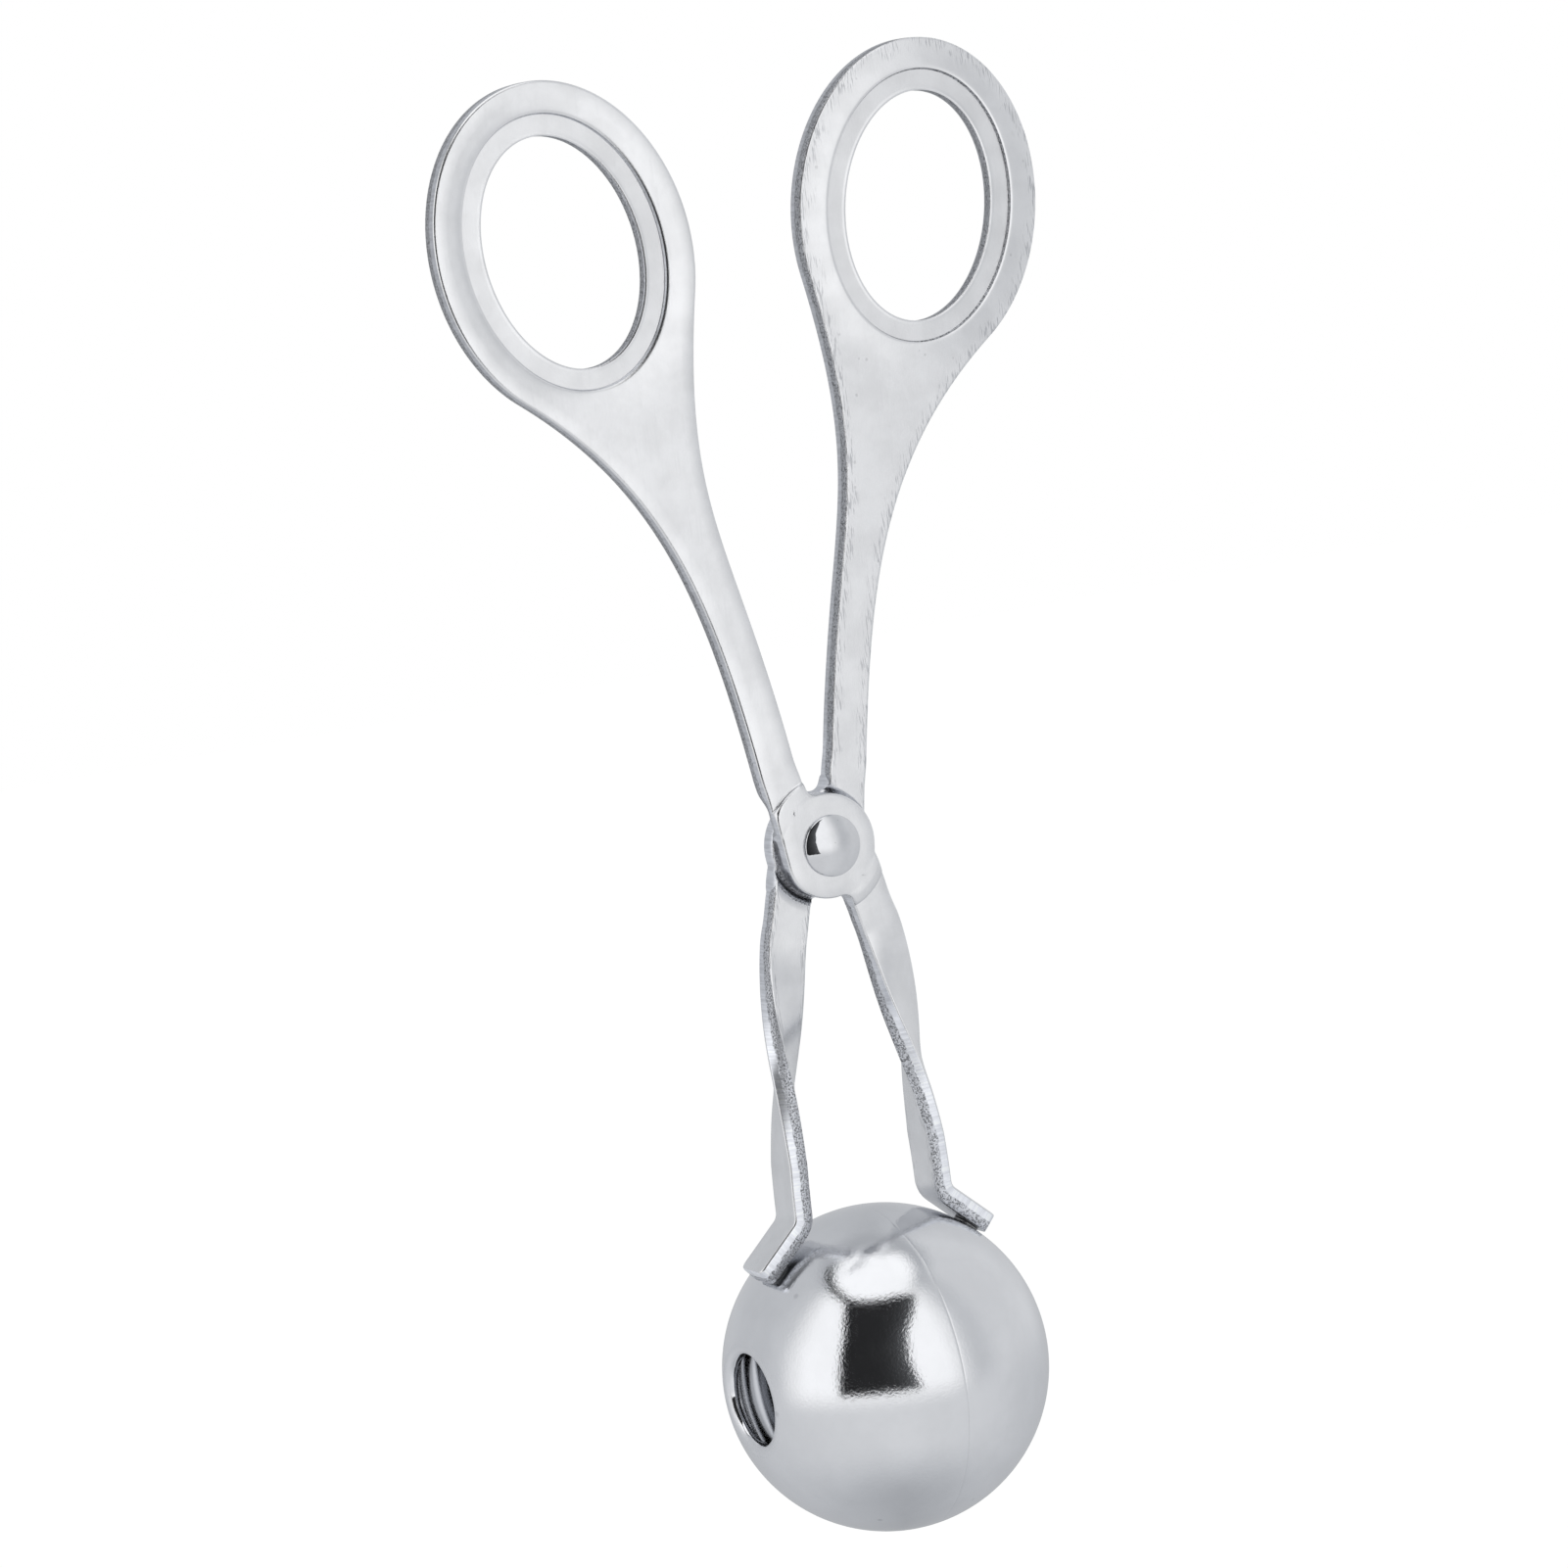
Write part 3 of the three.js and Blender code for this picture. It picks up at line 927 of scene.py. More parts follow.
    # The net of points
    face_columns: int = 5
    entry_radii: tuple[float, float, float] = (9.8, 9.4, 9.1)
    step_lifts: tuple[float, ...] = (0.4, 0.2, 0.1, 0.04, 0.0)
    shoulder_rows: int = 8
    recess_rows: int = 12
    disc_past: float = 0.25
    disc_rows: int = 44
    bow_fade: float = 8.0
    root_rows: int = 6
    slant_probe: float = 0.01
    slant_limit: float = 0.5
    outline_step: float = 0.45
    fill_step: float = 1.3
    fill_clear: float = 0.6
    least_area: float = 0.002
    leg_step: float = 0.42
    ring_count: int = 176

    def __post_init__(self) -> None:
        """Draws the two edge lines, the leg's path and the edge section once."""
        self.left, self.right = self.edge_lines()
        self.path = self.leg_path()
        self.section = self.edge_section()

    @property
    def ring_width(self) -> float:
        """The width of the finger ring, from its hole to its outer edge."""
        return self.rebate_width + self.ring_band

    # The flat blank

    def ring_point(self, growth: float, degrees: float) -> np.ndarray:
        """Gives a point on an ellipse round the finger hole.

        Args:
            growth: How far the ellipse is outside the hole's edge.
            degrees: Angle on the ellipse, before its tilt.

        Returns:
            The point, from the pivot.
        """
        angle = math.radians(degrees)
        wide = (self.hole_half_width + growth) * math.cos(angle)
        long = (self.hole_half_length + growth) * math.sin(angle)
        return turned(np.array([wide, long]), self.ring_tilt) + np.array([-self.ring_reach, self.ring_rise])

    def ring_growth(self, x: float, z: float) -> float:
        """Tells how far outside the finger hole's edge a point is, as the growth of the ellipse through it.

        Args:
            x: Across, from the pivot.
            z: Up, from the pivot.

        Returns:
            The growth, or the ring's whole width for a point outside the ring.
        """
        wide, long = turned(np.array([x + self.ring_reach, z - self.ring_rise]), -self.ring_tilt)

        def spread(growth: float) -> float:
            """The point's distance as a share of the ellipse of a growth."""
            return math.hypot(wide / (self.hole_half_width + growth), long / (self.hole_half_length + growth))

        low, high = -1.0, self.ring_width
        if spread(high) >= 1.0:
            return high
        for _ in range(SEARCH_STEPS):
            middle = (low + high) / 2
            low, high = (middle, high) if spread(middle) > 1.0 else (low, middle)
        return (low + high) / 2

    def ring_along(self, degrees: float) -> np.ndarray:
        """Gives the direction of the ring's outer edge at an angle.

        Args:
            degrees: Angle on the ellipse.

        Returns:
            A unit vector, counter-clockwise round the ring.
        """
        angle = math.radians(degrees)
        wide = -(self.hole_half_width + self.ring_width) * math.sin(angle)
        long = (self.hole_half_length + self.ring_width) * math.cos(angle)
        along = turned(np.array([wide, long]), self.ring_tilt)
        return along / np.linalg.norm(along)

    def meet_boss(self, point: np.ndarray, direction: np.ndarray) -> np.ndarray:
        """Gives the place where an edge that comes in along a direction meets the boss disc.

        Args:
            point: A point of the edge.
            direction: Unit direction towards the disc.

        Returns:
            The meeting point.
        """
        apart = point - np.dot(point, direction) * direction
        half = math.sqrt(max(self.boss_radius**2 - float(np.dot(apart, apart)), 0.0))
        return apart - half * direction

    def edge_lines(self) -> tuple[EdgeLine, EdgeLine]:
        """Draws the blank's left and right edges from the ring down to the leg's root.

        Returns:
            The left line and the right line.
        """
        outer_top = self.ring_point(self.ring_width, self.neck_outer_angle)
        inner_top = self.ring_point(self.ring_width, self.neck_inner_angle)
        outer_root = np.array([-self.shank_root_reach - self.shank_width / 2, self.shank_root_rise])
        inner_root = np.array([-self.shank_root_reach + self.shank_width / 2, self.shank_root_rise])
        outer_down = heading(self.shank_outer_lean)
        inner_down = heading(self.shank_inner_lean)
        leg_down = heading(self.leg_lean)
        leg_across = np.array([-leg_down[1], leg_down[0]])
        leg_root = np.array([self.leg_root_reach, -self.leg_root_drop])
        leg_outer = leg_root + leg_across * self.leg_width / 2
        leg_inner = leg_root - leg_across * self.leg_width / 2
        fillet_turn = math.degrees(self.boss_fillet / self.boss_radius)

        cheek_start = outer_root + outer_down * (self.shank_root_rise + self.cheek_drop) / -outer_down[1]
        cheek_end = on_circle(self.boss_radius, self.cheek_angle)
        cheek_corner = line_crossing(cheek_start, outer_down, cheek_end, turned(cheek_end, 90.0))
        leg_meet = self.meet_boss(leg_inner, -leg_down)
        leg_fillet = turned(leg_meet, -fillet_turn)
        left = chain(
            bezier(
                outer_top,
                outer_top + self.ring_along(self.neck_outer_angle) * self.neck_outer_pull,
                outer_root - outer_down * self.shank_outer_pull,
                outer_root,
            ),
            straight(outer_root, cheek_start),
            bezier(cheek_start, cheek_corner, cheek_end),
            round_arc(self.boss_radius, self.cheek_angle, bearing(leg_fillet) % 360.0),
            bezier(leg_fillet, leg_meet, leg_meet + leg_down * self.boss_fillet),
            straight(leg_meet + leg_down * self.boss_fillet, leg_inner),
        )

        shank_meet = self.meet_boss(inner_root, inner_down)
        shank_fillet = turned(shank_meet, -fillet_turn)
        outer_meet = self.meet_boss(leg_outer, -leg_down)
        right = chain(
            bezier(
                inner_top,
                inner_top - self.ring_along(self.neck_inner_angle) * self.neck_inner_pull,
                inner_root - inner_down * self.shank_inner_pull,
                inner_root,
            ),
            straight(inner_root, shank_meet - inner_down * self.boss_fillet),
            bezier(shank_meet - inner_down * self.boss_fillet, shank_meet, shank_fillet),
            round_arc(self.boss_radius, bearing(shank_fillet), bearing(outer_meet)),
            straight(outer_meet, leg_outer),
        )
        return EdgeLine(left, inward_left=True), EdgeLine(right, inward_left=False)

    def edge_section(self) -> list[EdgeStop]:
        """Draws the sheet's edge from its rolled front to its burr at the back.

        Returns:
            The stops in order.
        """
        half = self.sheet / 2
        stops = [EdgeStop(self.roll_width + self.crown_width + self.land, -half, 0.0)]
        for share in (0.0, 0.35, 0.7, 1.0):
            inset = self.roll_width + self.crown_width * (1.0 - share)
            stops.append(EdgeStop(inset, -half + self.crown_drop * share**2, 0.0))
        for step in range(1, self.roll_steps + 1):
            angle = math.pi / 2 * step / self.roll_steps
            inset = self.roll_width * (1.0 - math.sin(angle))
            height = -half + self.crown_drop + self.roll_depth * (1.0 - math.cos(angle))
            stops.append(EdgeStop(inset, height, max(step / self.roll_steps - 0.4, 0.0) / 0.6))
        bevel = self.burr_bevel
        stops.append(EdgeStop(0.0, self.tear_height, 1.0))
        stops.append(EdgeStop(self.tear_taper, half - bevel, 1.0))
        for share, wall in ((0.1, 0.2), (0.9, 0.0), (1.0, 0.0)):
            inset = self.tear_taper + bevel * self.bevel_lean * share
            stops.append(EdgeStop(inset, half - bevel * (1.0 - share), wall))
        stops.append(EdgeStop(self.tear_taper + bevel * self.bevel_lean + self.land, half, 0.0))
        return stops

    # Forming

    def formed(self, x: float, z: float, height: float, edge: float = 0.0) -> np.ndarray:
        """Places a point of the blank after the boss is pushed out and the ring is pressed.

        Args:
            x: Across, from the pivot.
            z: Up, from the pivot.
            height: Depth in the sheet, from its middle.
            edge: 1 at the sheet's outer edge, where the boss's step is softer, and 0 away from it.

        Returns:
            The place, from the pivot.
        """
        through = height / self.sheet + 0.5
        radius = math.hypot(x, z)
        reach = self.recess_reach(x, z)
        softness = self.shoulder_fade * edge**self.fade_power + self.shoulder_soft * eased(-z, self.soft_fade)
        rise = min(max((self.step_radius - radius) / (self.shoulder_run + softness), 0.0), 1.0)
        shoulder = math.sqrt(1.0 - (1.0 - rise) ** 2)
        slope_run = self.recess_run * (reach / self.recess_radius) ** self.recess_power
        slope = smooth((reach - radius) / slope_run)
        leg_side = self.shank_gap + (1.0 - self.shank_gap) * smooth(-z / self.leg_gap_run)
        recess = slope + (smooth((self.gap_radius - radius) / self.gap_run) - slope) * leg_side / 2
        groove_end = self.gap_radius + self.groove_past
        groove = window(radius, self.groove_radius, self.groove_run, groove_end, self.gap_run)
        behind = max(self.step_height * recess, self.relief_depth * self.relief_share(x, z))
        push = self.step_height * shoulder * (1.0 - through) + behind * through + self.arm_set(radius)
        push += self.groove_depth * groove * leg_side * through**3
        band = min(max(1.0 - (self.ring_growth(x, z) - self.rebate_width) / self.ring_band, 0.0), 1.0)
        dish = self.ring_dish * band**self.dish_bend
        return np.array([x - self.arm_lean(radius), height - push + dish, z])

    def recess_reach(self, x: float, z: float) -> float:
        """Gives the radius of the recess behind the boss towards a point, less on the shank's outer side."""
        outer_side = window(bearing((x, z)) % 360.0, *self.fill_sweep)
        return self.recess_radius - self.recess_fill * outer_side

    def relief_share(self, x: float, z: float) -> float:
        """Gives how much of the relief behind the boss is cut at a point, none on the leg's inner side.

        Args:
            x: Across, from the pivot.
            z: Up, from the pivot.

        Returns:
            The share, from 0 to 1.
        """
        radius = math.hypot(x, z)
        inner_side = window(bearing((x, z)) % 360.0, *self.whole_sweep)
        cut = window(radius, self.boss_radius, self.relief_rim, self.relief_reach, self.relief_run)
        return cut * (1.0 - inner_side)

    def arm_set(self, radius: float) -> float:
        """Gives how far the arm is bent forward at a distance from the pivot."""
        run = self.set_radius - self.step_radius
        return self.set_height * smooth((self.set_radius - radius) / run)

    def arm_lean(self, radius: float) -> float:
        """Gives how far the bent arm leans to the left at a distance from the pivot."""
        return self.set_lean * self.arm_set(radius) * smooth((radius - self.step_radius) / self.lean_run)

    def edge_at(self, stop: EdgeStop) -> float:
        """Gives the edge value of a stop of the edge section."""
        return max(1.0 - stop.inset / self.section[0].inset, 0.0)

    def finish_values(self, x: float, z: float, height: float, wall: float) -> tuple[float, float]:
        """Gives what a finish reads: the recess is as rough as a tear and painted as dark as one, partly as
        shade from the boss, and the boss's wall is burnished.

        Args:
            x: Across, from the pivot.
            z: Up, from the pivot.
            height: Depth in the sheet, from its middle.
            wall: The value of the edge section.

        Returns:
            The wall value and the depth.
        """
        radius = math.hypot(x, z)
        # The recess floor behind the boss takes the torn wall's finish: its roughness is real, and its dark
        # grey is partly painted shade from the boss in front of it.
        if height >= self.sheet / 2:
            inside = self.recess_reach(x, z) - self.recess_margin - radius
            return max(wall, smooth(inside / self.margin_run)), height
        if wall < 0.5:
            return wall, height
        inside = self.step_radius + self.burnish_past - radius
        return wall, height - self.burnish_depth * smooth(inside / self.burnish_run)

    def leg_path(self) -> EdgeLine:
        """Draws the leg's centre line from its root to the foot's tip.

        Returns:
            The line, whose inward side is the way across the leg.
        """
        slope = math.radians(self.foot_angle)
        start = np.array([self.leg_root_reach, -self.leg_root_drop])
        seat = self.ball_radius + self.foot_lift + self.sheet / 2
        centre_drop = self.pivot_rise - self.ball_radius
        corner_drop = centre_drop - (seat - self.leg_reach * math.sin(slope)) / math.cos(slope)
        bend_run = self.foot_bend_radius * math.tan((math.pi / 2 - slope) / 2)
        corner = np.array([self.leg_reach, -corner_drop])
        bend_start = corner + np.array([0.0, bend_run])
        foot_down = heading(90.0 - self.foot_angle)
        bend_end = corner + foot_down * bend_run
        points = chain(
            bezier(
                start,
                start + heading(self.leg_lean) * self.leg_start_pull,
                bend_start + np.array([0.0, self.leg_end_pull]),
                bend_start,
            ),
            bezier(bend_start, corner, bend_end),
            straight(bend_end, corner + foot_down * self.foot_length),
        )
        return EdgeLine(points, inward_left=True)

    def twist_at(self, run: float) -> float:
        """Gives the leg's twist in radians at a length along its path, eased at both ends."""
        share = min(max((run - self.twist_start) / self.twist_length, 0.0), 1.0)
        eased_share = share - math.sin(2.0 * math.pi * share) / (2.0 * math.pi) * self.twist_ease
        return math.radians(self.twist_angle) * eased_share

    # Rows of the formed part: shank, boss and leg

    def row_shares(
        self, width: float, slant_left: float, slant_right: float
    ) -> list[tuple[float, float, float, float]]:
        """Gives the stops of one closed row round the sheet.

        Args:
            width: Length of the row from edge to edge.
            slant_left: How much longer an inset is along the row at its left end.
            slant_right: The same at its right end.

        Returns:
            For each stop its share of the way across, its height, its wall value and its edge value.
        """
        right, left = [], []
        for stop in self.section:
            values = (stop.height, stop.wall, self.edge_at(stop))
            right.append((1.0 - stop.inset * slant_right / width, *values))
            left.append((stop.inset * slant_left / width, *values))
        inner = np.linspace(0.0, 1.0, self.face_columns + 2)[1:-1]
        back = [(right[-1][0] + (left[-1][0] - right[-1][0]) * k, right[-1][1], 0.0, 0.0) for k in inner]
        front = [(left[0][0] + (right[0][0] - left[0][0]) * k, left[0][1], 0.0, 0.0) for k in inner]
        return right + back + left[::-1] + front

    def flat_row(self, draft: MeshDraft, left_run: float, right_run: float, bow: float) -> list[int]:
        """Adds a row across the blank.

        Args:
            draft: The draft.
            left_run: Where the row starts on the left line.
            right_run: Where it ends on the right line.
            bow: 0 for a straight row and 1 for an arc round the pivot.

        Returns:
            The row's point numbers.
        """
        start, start_in = self.left.at(left_run)
        end, end_in = self.right.at(right_run)
        start_angle, end_angle = bearing(start), bearing(end)
        sweep = (end_angle - start_angle + 180.0) % 360.0 - 180.0
        start_radius, end_radius = np.linalg.norm(start), np.linalg.norm(end)

        def place(share: float) -> np.ndarray:
            """The row's point at a share of the way across."""
            chord = start + (end - start) * share
            arc = on_circle(start_radius + (end_radius - start_radius) * share, start_angle + sweep * share)
            return chord + (arc - chord) * bow

        width = float(np.linalg.norm(end - start))
        way_in = place(self.slant_probe) - start
        way_out = place(1.0 - self.slant_probe) - end
        lean_in = float(np.dot(way_in, start_in)) / np.linalg.norm(way_in)
        lean_out = float(np.dot(way_out, end_in)) / np.linalg.norm(way_out)
        slant_left = 1.0 / max(lean_in, self.slant_limit)
        slant_right = 1.0 / max(lean_out, self.slant_limit)
        row = []
        for share, height, wall, edge in self.row_shares(width, slant_left, slant_right):
            x, z = place(share)
            rough, depth = self.finish_values(x, z, height, wall)
            row.append(draft.add(self.formed(x, z, height, edge), (x, depth, z), rough, edge))
        return row

    def rows_between(
        self,
        draft: MeshDraft,
        first: Sequence[float],
        last: Sequence[float],
        count: int,
        bow: Callable[[float], float],
    ) -> list[list[int]]:
        """Adds even rows between two rows of the blank, without those two.

        Args:
            draft: The draft.
            first: Where the first row meets the left and the right line.
            last: Where the last row meets them.
            count: How many steps lie between the two rows.
            bow: Gives each row's bow at its share of the way.

        Returns:
            The rows in order.
        """
        rows = []
        for step in range(1, count):
            share = step / count
            runs = [a + (b - a) * share for a, b in zip(first, last)]
            rows.append(self.flat_row(draft, runs[0], runs[1], bow(share)))
        return rows

    def boss_rows(self, draft: MeshDraft) -> list[list[int]]:
        """Adds the rows from the shank through the boss to the leg's root.

        Args:
            draft: The draft.

        Returns:
            The rows in order.
        """
        lines = (self.left, self.right)

        def runs(radius: float, last: bool) -> list[float]:
            """Where a circle round the pivot first or last takes in the two lines."""
            return [line.run_at_radius(radius, last) for line in lines]

        def disc_bow(share: float) -> float:
            """The bow of a row on the disc, which straightens towards its middle."""
            return max(1.0 - min(share, 1.0 - share) * self.bow_fade, 0.0)

        disc = self.boss_radius + self.disc_past
        step = [self.step_radius + lift for lift in self.step_lifts]
        shares = np.linspace(0.0, 1.0, self.shoulder_rows + 1)[1:]
        shoulder = [self.step_radius - self.shoulder_run * share**2 for share in shares]
        recess = np.linspace(shoulder[-1], disc, self.recess_rows + 1)[1:]
        radii = [self.cut_radius, *self.entry_radii, *step, *shoulder, *recess]
        entry = len(self.entry_radii)
        rows = []
        for index, radius in enumerate(radii):
            rows.append(self.flat_row(draft, *runs(radius, False), min(index / entry, 1.0)))
        rows += self.rows_between(draft, runs(disc, False), runs(disc, True), self.disc_rows, disc_bow)
        for radius in reversed(radii[entry:]):
            rows.append(self.flat_row(draft, *runs(radius, True), 1.0))
        root = [float(line.run[-1]) for line in lines]
        leg = runs(radii[entry], True)
        return rows + self.rows_between(draft, leg, root, self.root_rows, lambda share: 1.0 - share)

    def leg_row(self, draft: MeshDraft, run: float, width: float, pinch: float) -> list[int]:
        """Adds a row across the leg.

        Args:
            draft: The draft.
            run: Length along the leg's path.
            width: The strip's width there.
            pinch: How far the row is drawn in from the sheet's skin.

        Returns:
            The row's point numbers.
        """
        centre, inward = self.path.at(run)
        across = np.array([inward[0], 0.0, inward[1]])
        up = np.array([0.0, 1.0, 0.0])
        twist = self.twist_at(run)
        wide = across * math.cos(twist) + up * math.sin(twist)
        thick = up * math.cos(twist) - across * math.sin(twist)
        radius = float(np.linalg.norm(centre))
        middle = np.array([centre[0] - self.arm_lean(radius), -self.arm_set(radius), centre[1]])
        squeeze = 1.0 - 2.0 * pinch / self.sheet
        row = []
        for share, height, wall, edge in self.row_shares(width, 1.0, 1.0):
            x = (share - 0.5) * width
            point = middle + wide * x + thick * height * squeeze
            blank = (self.leg_root_reach + x, height, -self.leg_root_drop - run)
            row.append(draft.add(point, blank, max(wall, min(pinch * self.pinch_wall, 1.0)), edge))
        return row

    def leg_rows(self, draft: MeshDraft) -> list[list[int]]:
        """Adds the rows from the leg's root to the foot's rounded tip.

        Args:
            draft: The draft.

        Returns:
            The rows in order.
        """
        length = float(self.path.run[-1])
        corner = self.foot_corner
        count = int((length - corner) / self.leg_step)
        runs = np.linspace(0.0, length - corner, count)
        rows = [self.leg_row(draft, run, self.leg_width, 0.0) for run in runs]
        for share in self.tip_shares:
            narrowing = 2.0 * corner * (1.0 - math.sqrt(1.0 - share**2 * self.tip_blunt))
            pinch = self.tip_pinch * max(share - self.pinch_fade[0], 0.0) / self.pinch_fade[1]
            run, width = length - corner * (1.0 - share), self.leg_width - narrowing
            rows.append(self.leg_row(draft, run, width, pinch))
        return rows

    # The flat part: upper shank, neck and finger ring

    def outline(self) -> list[tuple[np.ndarray, np.ndarray]]:
        """Draws the flat part's outer edge from the shank's left edge round the ring to its right edge.

        Returns:
            Points with the way in that an inset takes, which turns to the cut row's way at both ends.
        """
        left_end = self.left.run_at_radius(self.cut_radius, False)
        right_end = self.right.run_at_radius(self.cut_radius, False)
        start, start_in = self.left.at(left_end)
        end, end_in = self.right.at(right_end)
        across = (end - start) / np.linalg.norm(end - start)
        left_way = across / max(float(np.dot(across, start_in)), self.slant_limit)
        right_way = -across / max(float(np.dot(-across, end_in)), self.slant_limit)

        def side(line: EdgeLine, runs: np.ndarray, last: float, way: np.ndarray) -> list[Any]:
            """The points and ways in along one line, whose way in turns to the cut row's at its end."""
            shares = [min((last - run) / self.cut_blend, 1.0) for run in runs]
            return [(p, way + (n - way) * share) for (p, n), share in zip(map(line.at, runs), shares)]

        down_left = np.linspace(left_end, 0.0, int(left_end / self.outline_step))
        down_right = np.linspace(0.0, right_end, int(right_end / self.outline_step))
        ring = []
        for angle in np.linspace(self.neck_outer_angle, self.neck_inner_angle, self.ring_count)[1:-1]:
            along = self.ring_along(angle)
            ring.append((self.ring_point(self.ring_width, angle), np.array([-along[1], along[0]])))
        left_side = side(self.left, down_left, left_end, left_way)
        return left_side + ring + side(self.right, down_right, right_end, right_way)

    def chamfer(self, inset: float, height: float) -> list[EdgeStop]:
        """Draws a chamfered corner of the finger hole from its face down to its wall."""
        wide, deep = self.hole_round * self.bevel_lean, self.hole_round
        return [EdgeStop(inset + wide * out, height - deep * down, wall) for out, down, wall in CHAMFER]

    def hole_section(self) -> list[EdgeStop]:
        """Draws the section of the finger hole's edge, from the front face over the rebates to the back face.

        Returns:
            The stops, with insets counted outwards from the hole's edge.
        """
        half, rim, soft, lift = self.sheet / 2, self.rebate_width, self.rebate_round, self.hole_ridge
        floor = half - self.rebate_depth
        ridge = floor + lift
        far, near, last = self.hole_crown_insets
        foot, rise, crest = (self.hole_round + inset for inset in self.hole_ridge_insets)
        front = [
            EdgeStop(rim + far, half, 0.0),
            EdgeStop(rim + near, half, 0.0),
            EdgeStop(rim + last, half - self.hole_crown / 2, 0.0),
            # From this chamfer down to its foot the rebate's step is given the torn wall's dark finish:
            # painted shade along the step.
            *self.chamfer(rim, half - self.hole_crown),
            EdgeStop(rim - soft * 0.2, floor + soft * 0.5, 1.0),
            EdgeStop(rim - soft, floor, 0.95),
            EdgeStop(rim - 2.0 * soft, floor, 0.4),
            EdgeStop(foot, floor, 0.4),
            EdgeStop(rise, floor + lift * 0.1, 0.3),
            EdgeStop(crest, ridge - lift * 0.2, 0.0),
            *self.chamfer(0.0, ridge),
        ]
        rolled = [EdgeStop(stop.inset, -stop.height, stop.wall) for stop in front]
        return rolled + [EdgeStop(0.0, self.tear_height, 1.0)] + front[::-1]

    def fill_face(self, draft: MeshDraft, rim: list[int], hole: list[int]) -> None:
        """Fills a flat face between its rim and the rebate with an even net.

        Args:
            draft: The draft.
            rim: Point numbers round the face.
            hole: Point numbers round the rebate.
        """
        numbers = rim + hole
        plane = [Vector((draft.blanks[n][0], draft.blanks[n][2])) for n in numbers]
        height = draft.blanks[rim[0]][1]
        edges = [(k, (k + 1) % len(rim)) for k in range(len(rim))]
        edges += [(len(rim) + k, len(rim) + (k + 1) % len(hole)) for k in range(len(hole))]
        border = np.array([[p.x, p.y] for p in plane])
        low, high = border.min(axis=0), border.max(axis=0)

        def on_face(x: float, z: float) -> bool:
            """Tells whether a point is inside the rim and outside the hole."""
            return inside_loop(x, z, border[: len(rim)]) and not inside_loop(x, z, border[len(rim) :])

        for column, x in enumerate(np.arange(low[0], high[0], self.fill_step)):
            shift = self.fill_step / 2 if column % 2 else 0.0
            for z in np.arange(low[1] + shift, high[1], self.fill_step):
                apart = np.min(np.hypot(border[:, 0] - x, border[:, 1] - z))
                if apart >= self.fill_step * self.fill_clear and on_face(x, z):
                    plane.append(Vector((x, z)))
                    numbers.append(draft.add(self.formed(x, z, height), (x, height, z), 0.0))
        _, _, faces, origins, _, _ = delaunay_2d_cdt(plane, edges, [], 0, CROSSING_DISTANCE)
        for face in faces:
            corners = [origins[k][0] for k in face]
            first, second, third = (plane[k] for k in corners)
            centre = (first + second + third) / 3
            large = abs((second - first).cross(third - first)) >= self.least_area
            if large and on_face(centre.x, centre.y):
                draft.faces.append([numbers[k] for k in corners])

    def add_stop(self, draft: MeshDraft, place: np.ndarray, stop: EdgeStop, torn: float, edge: float) -> int:
        """Adds the formed point of a stop of an edge section.

        Args:
            draft: The draft.
            place: Its place in the blank.
            stop: The stop.
            torn: How much deeper in the sheet the finish reads it.
            edge: Its edge value.

        Returns:
            The point's number.
        """
        x, z = place
        return draft.add(self.formed(x, z, stop.height, edge), (x, stop.height + torn, z), stop.wall, edge)

    def build(self, half: Half) -> Object:
        """Builds one arm.

        Args:
            half: The half of the tongs that the arm belongs to.

        Returns:
            The arm's object.
        """
        draft = MeshDraft()
        rows = self.boss_rows(draft) + self.leg_rows(draft)
        draft.bridge(rows, closed=True)
        draft.faces.append(rows[-1])

        sides = []
        for point, way in self.outline():
            places = [(point + way * stop.inset, stop, self.edge_at(stop)) for stop in self.section]
            sides.append([self.add_stop(draft, place, stop, 0.0, edge) for place, stop, edge in places])
        draft.bridge(sides, closed=False)

        angles = np.linspace(0.0, 360.0, self.ring_count, endpoint=False)
        rings = []
        for stop in self.hole_section():
            # Walls take the torn finish: real on the hole's wall, painted shade on the rebate's step.
            torn = self.hole_tear_and_step_shade * (stop.wall > 0.9)
            places = [self.ring_point(stop.inset, angle) for angle in angles]
            rings.append([self.add_stop(draft, place, stop, torn, 0.0) for place in places])
        draft.bridge(rings, closed=True)

        count = len(self.section)
        back_columns = rows[0][count : count + self.face_columns]
        front_columns = rows[0][2 * count + self.face_columns :]
        self.fill_face(draft, [side[0] for side in sides] + front_columns[::-1], rings[0])
        self.fill_face(draft, [side[-1] for side in sides] + back_columns, rings[-1])
        return draft.to_object(half.arm + "_stamping", half.raised(self.pivot_rise))

    def dress(self, piece: Object, half: Half, finish: Material) -> None:
        """Gives an arm its finish and ties it to its node and body."""
        piece.data.materials.append(finish)
        settle(piece, half.body, half.arm)


def inside_loop(x: float, z: float, loop: np.ndarray) -> bool:
    """Tells whether a plane point is inside a closed loop.

    Args:
        x: Its first coordinate.
        z: Its second coordinate.
        loop: The loop's points.

    Returns:
        True for a point inside.
    """
    after = np.roll(loop, -1, axis=0)
    straddles = (loop[:, 1] > z) != (after[:, 1] > z)
    rise = np.where(after[:, 1] == loop[:, 1], 1.0, after[:, 1] - loop[:, 1])
    cross = loop[:, 0] + (z - loop[:, 1]) / rise * (after[:, 0] - loop[:, 0])
    return bool(np.count_nonzero(straddles & (x < cross)) % 2)


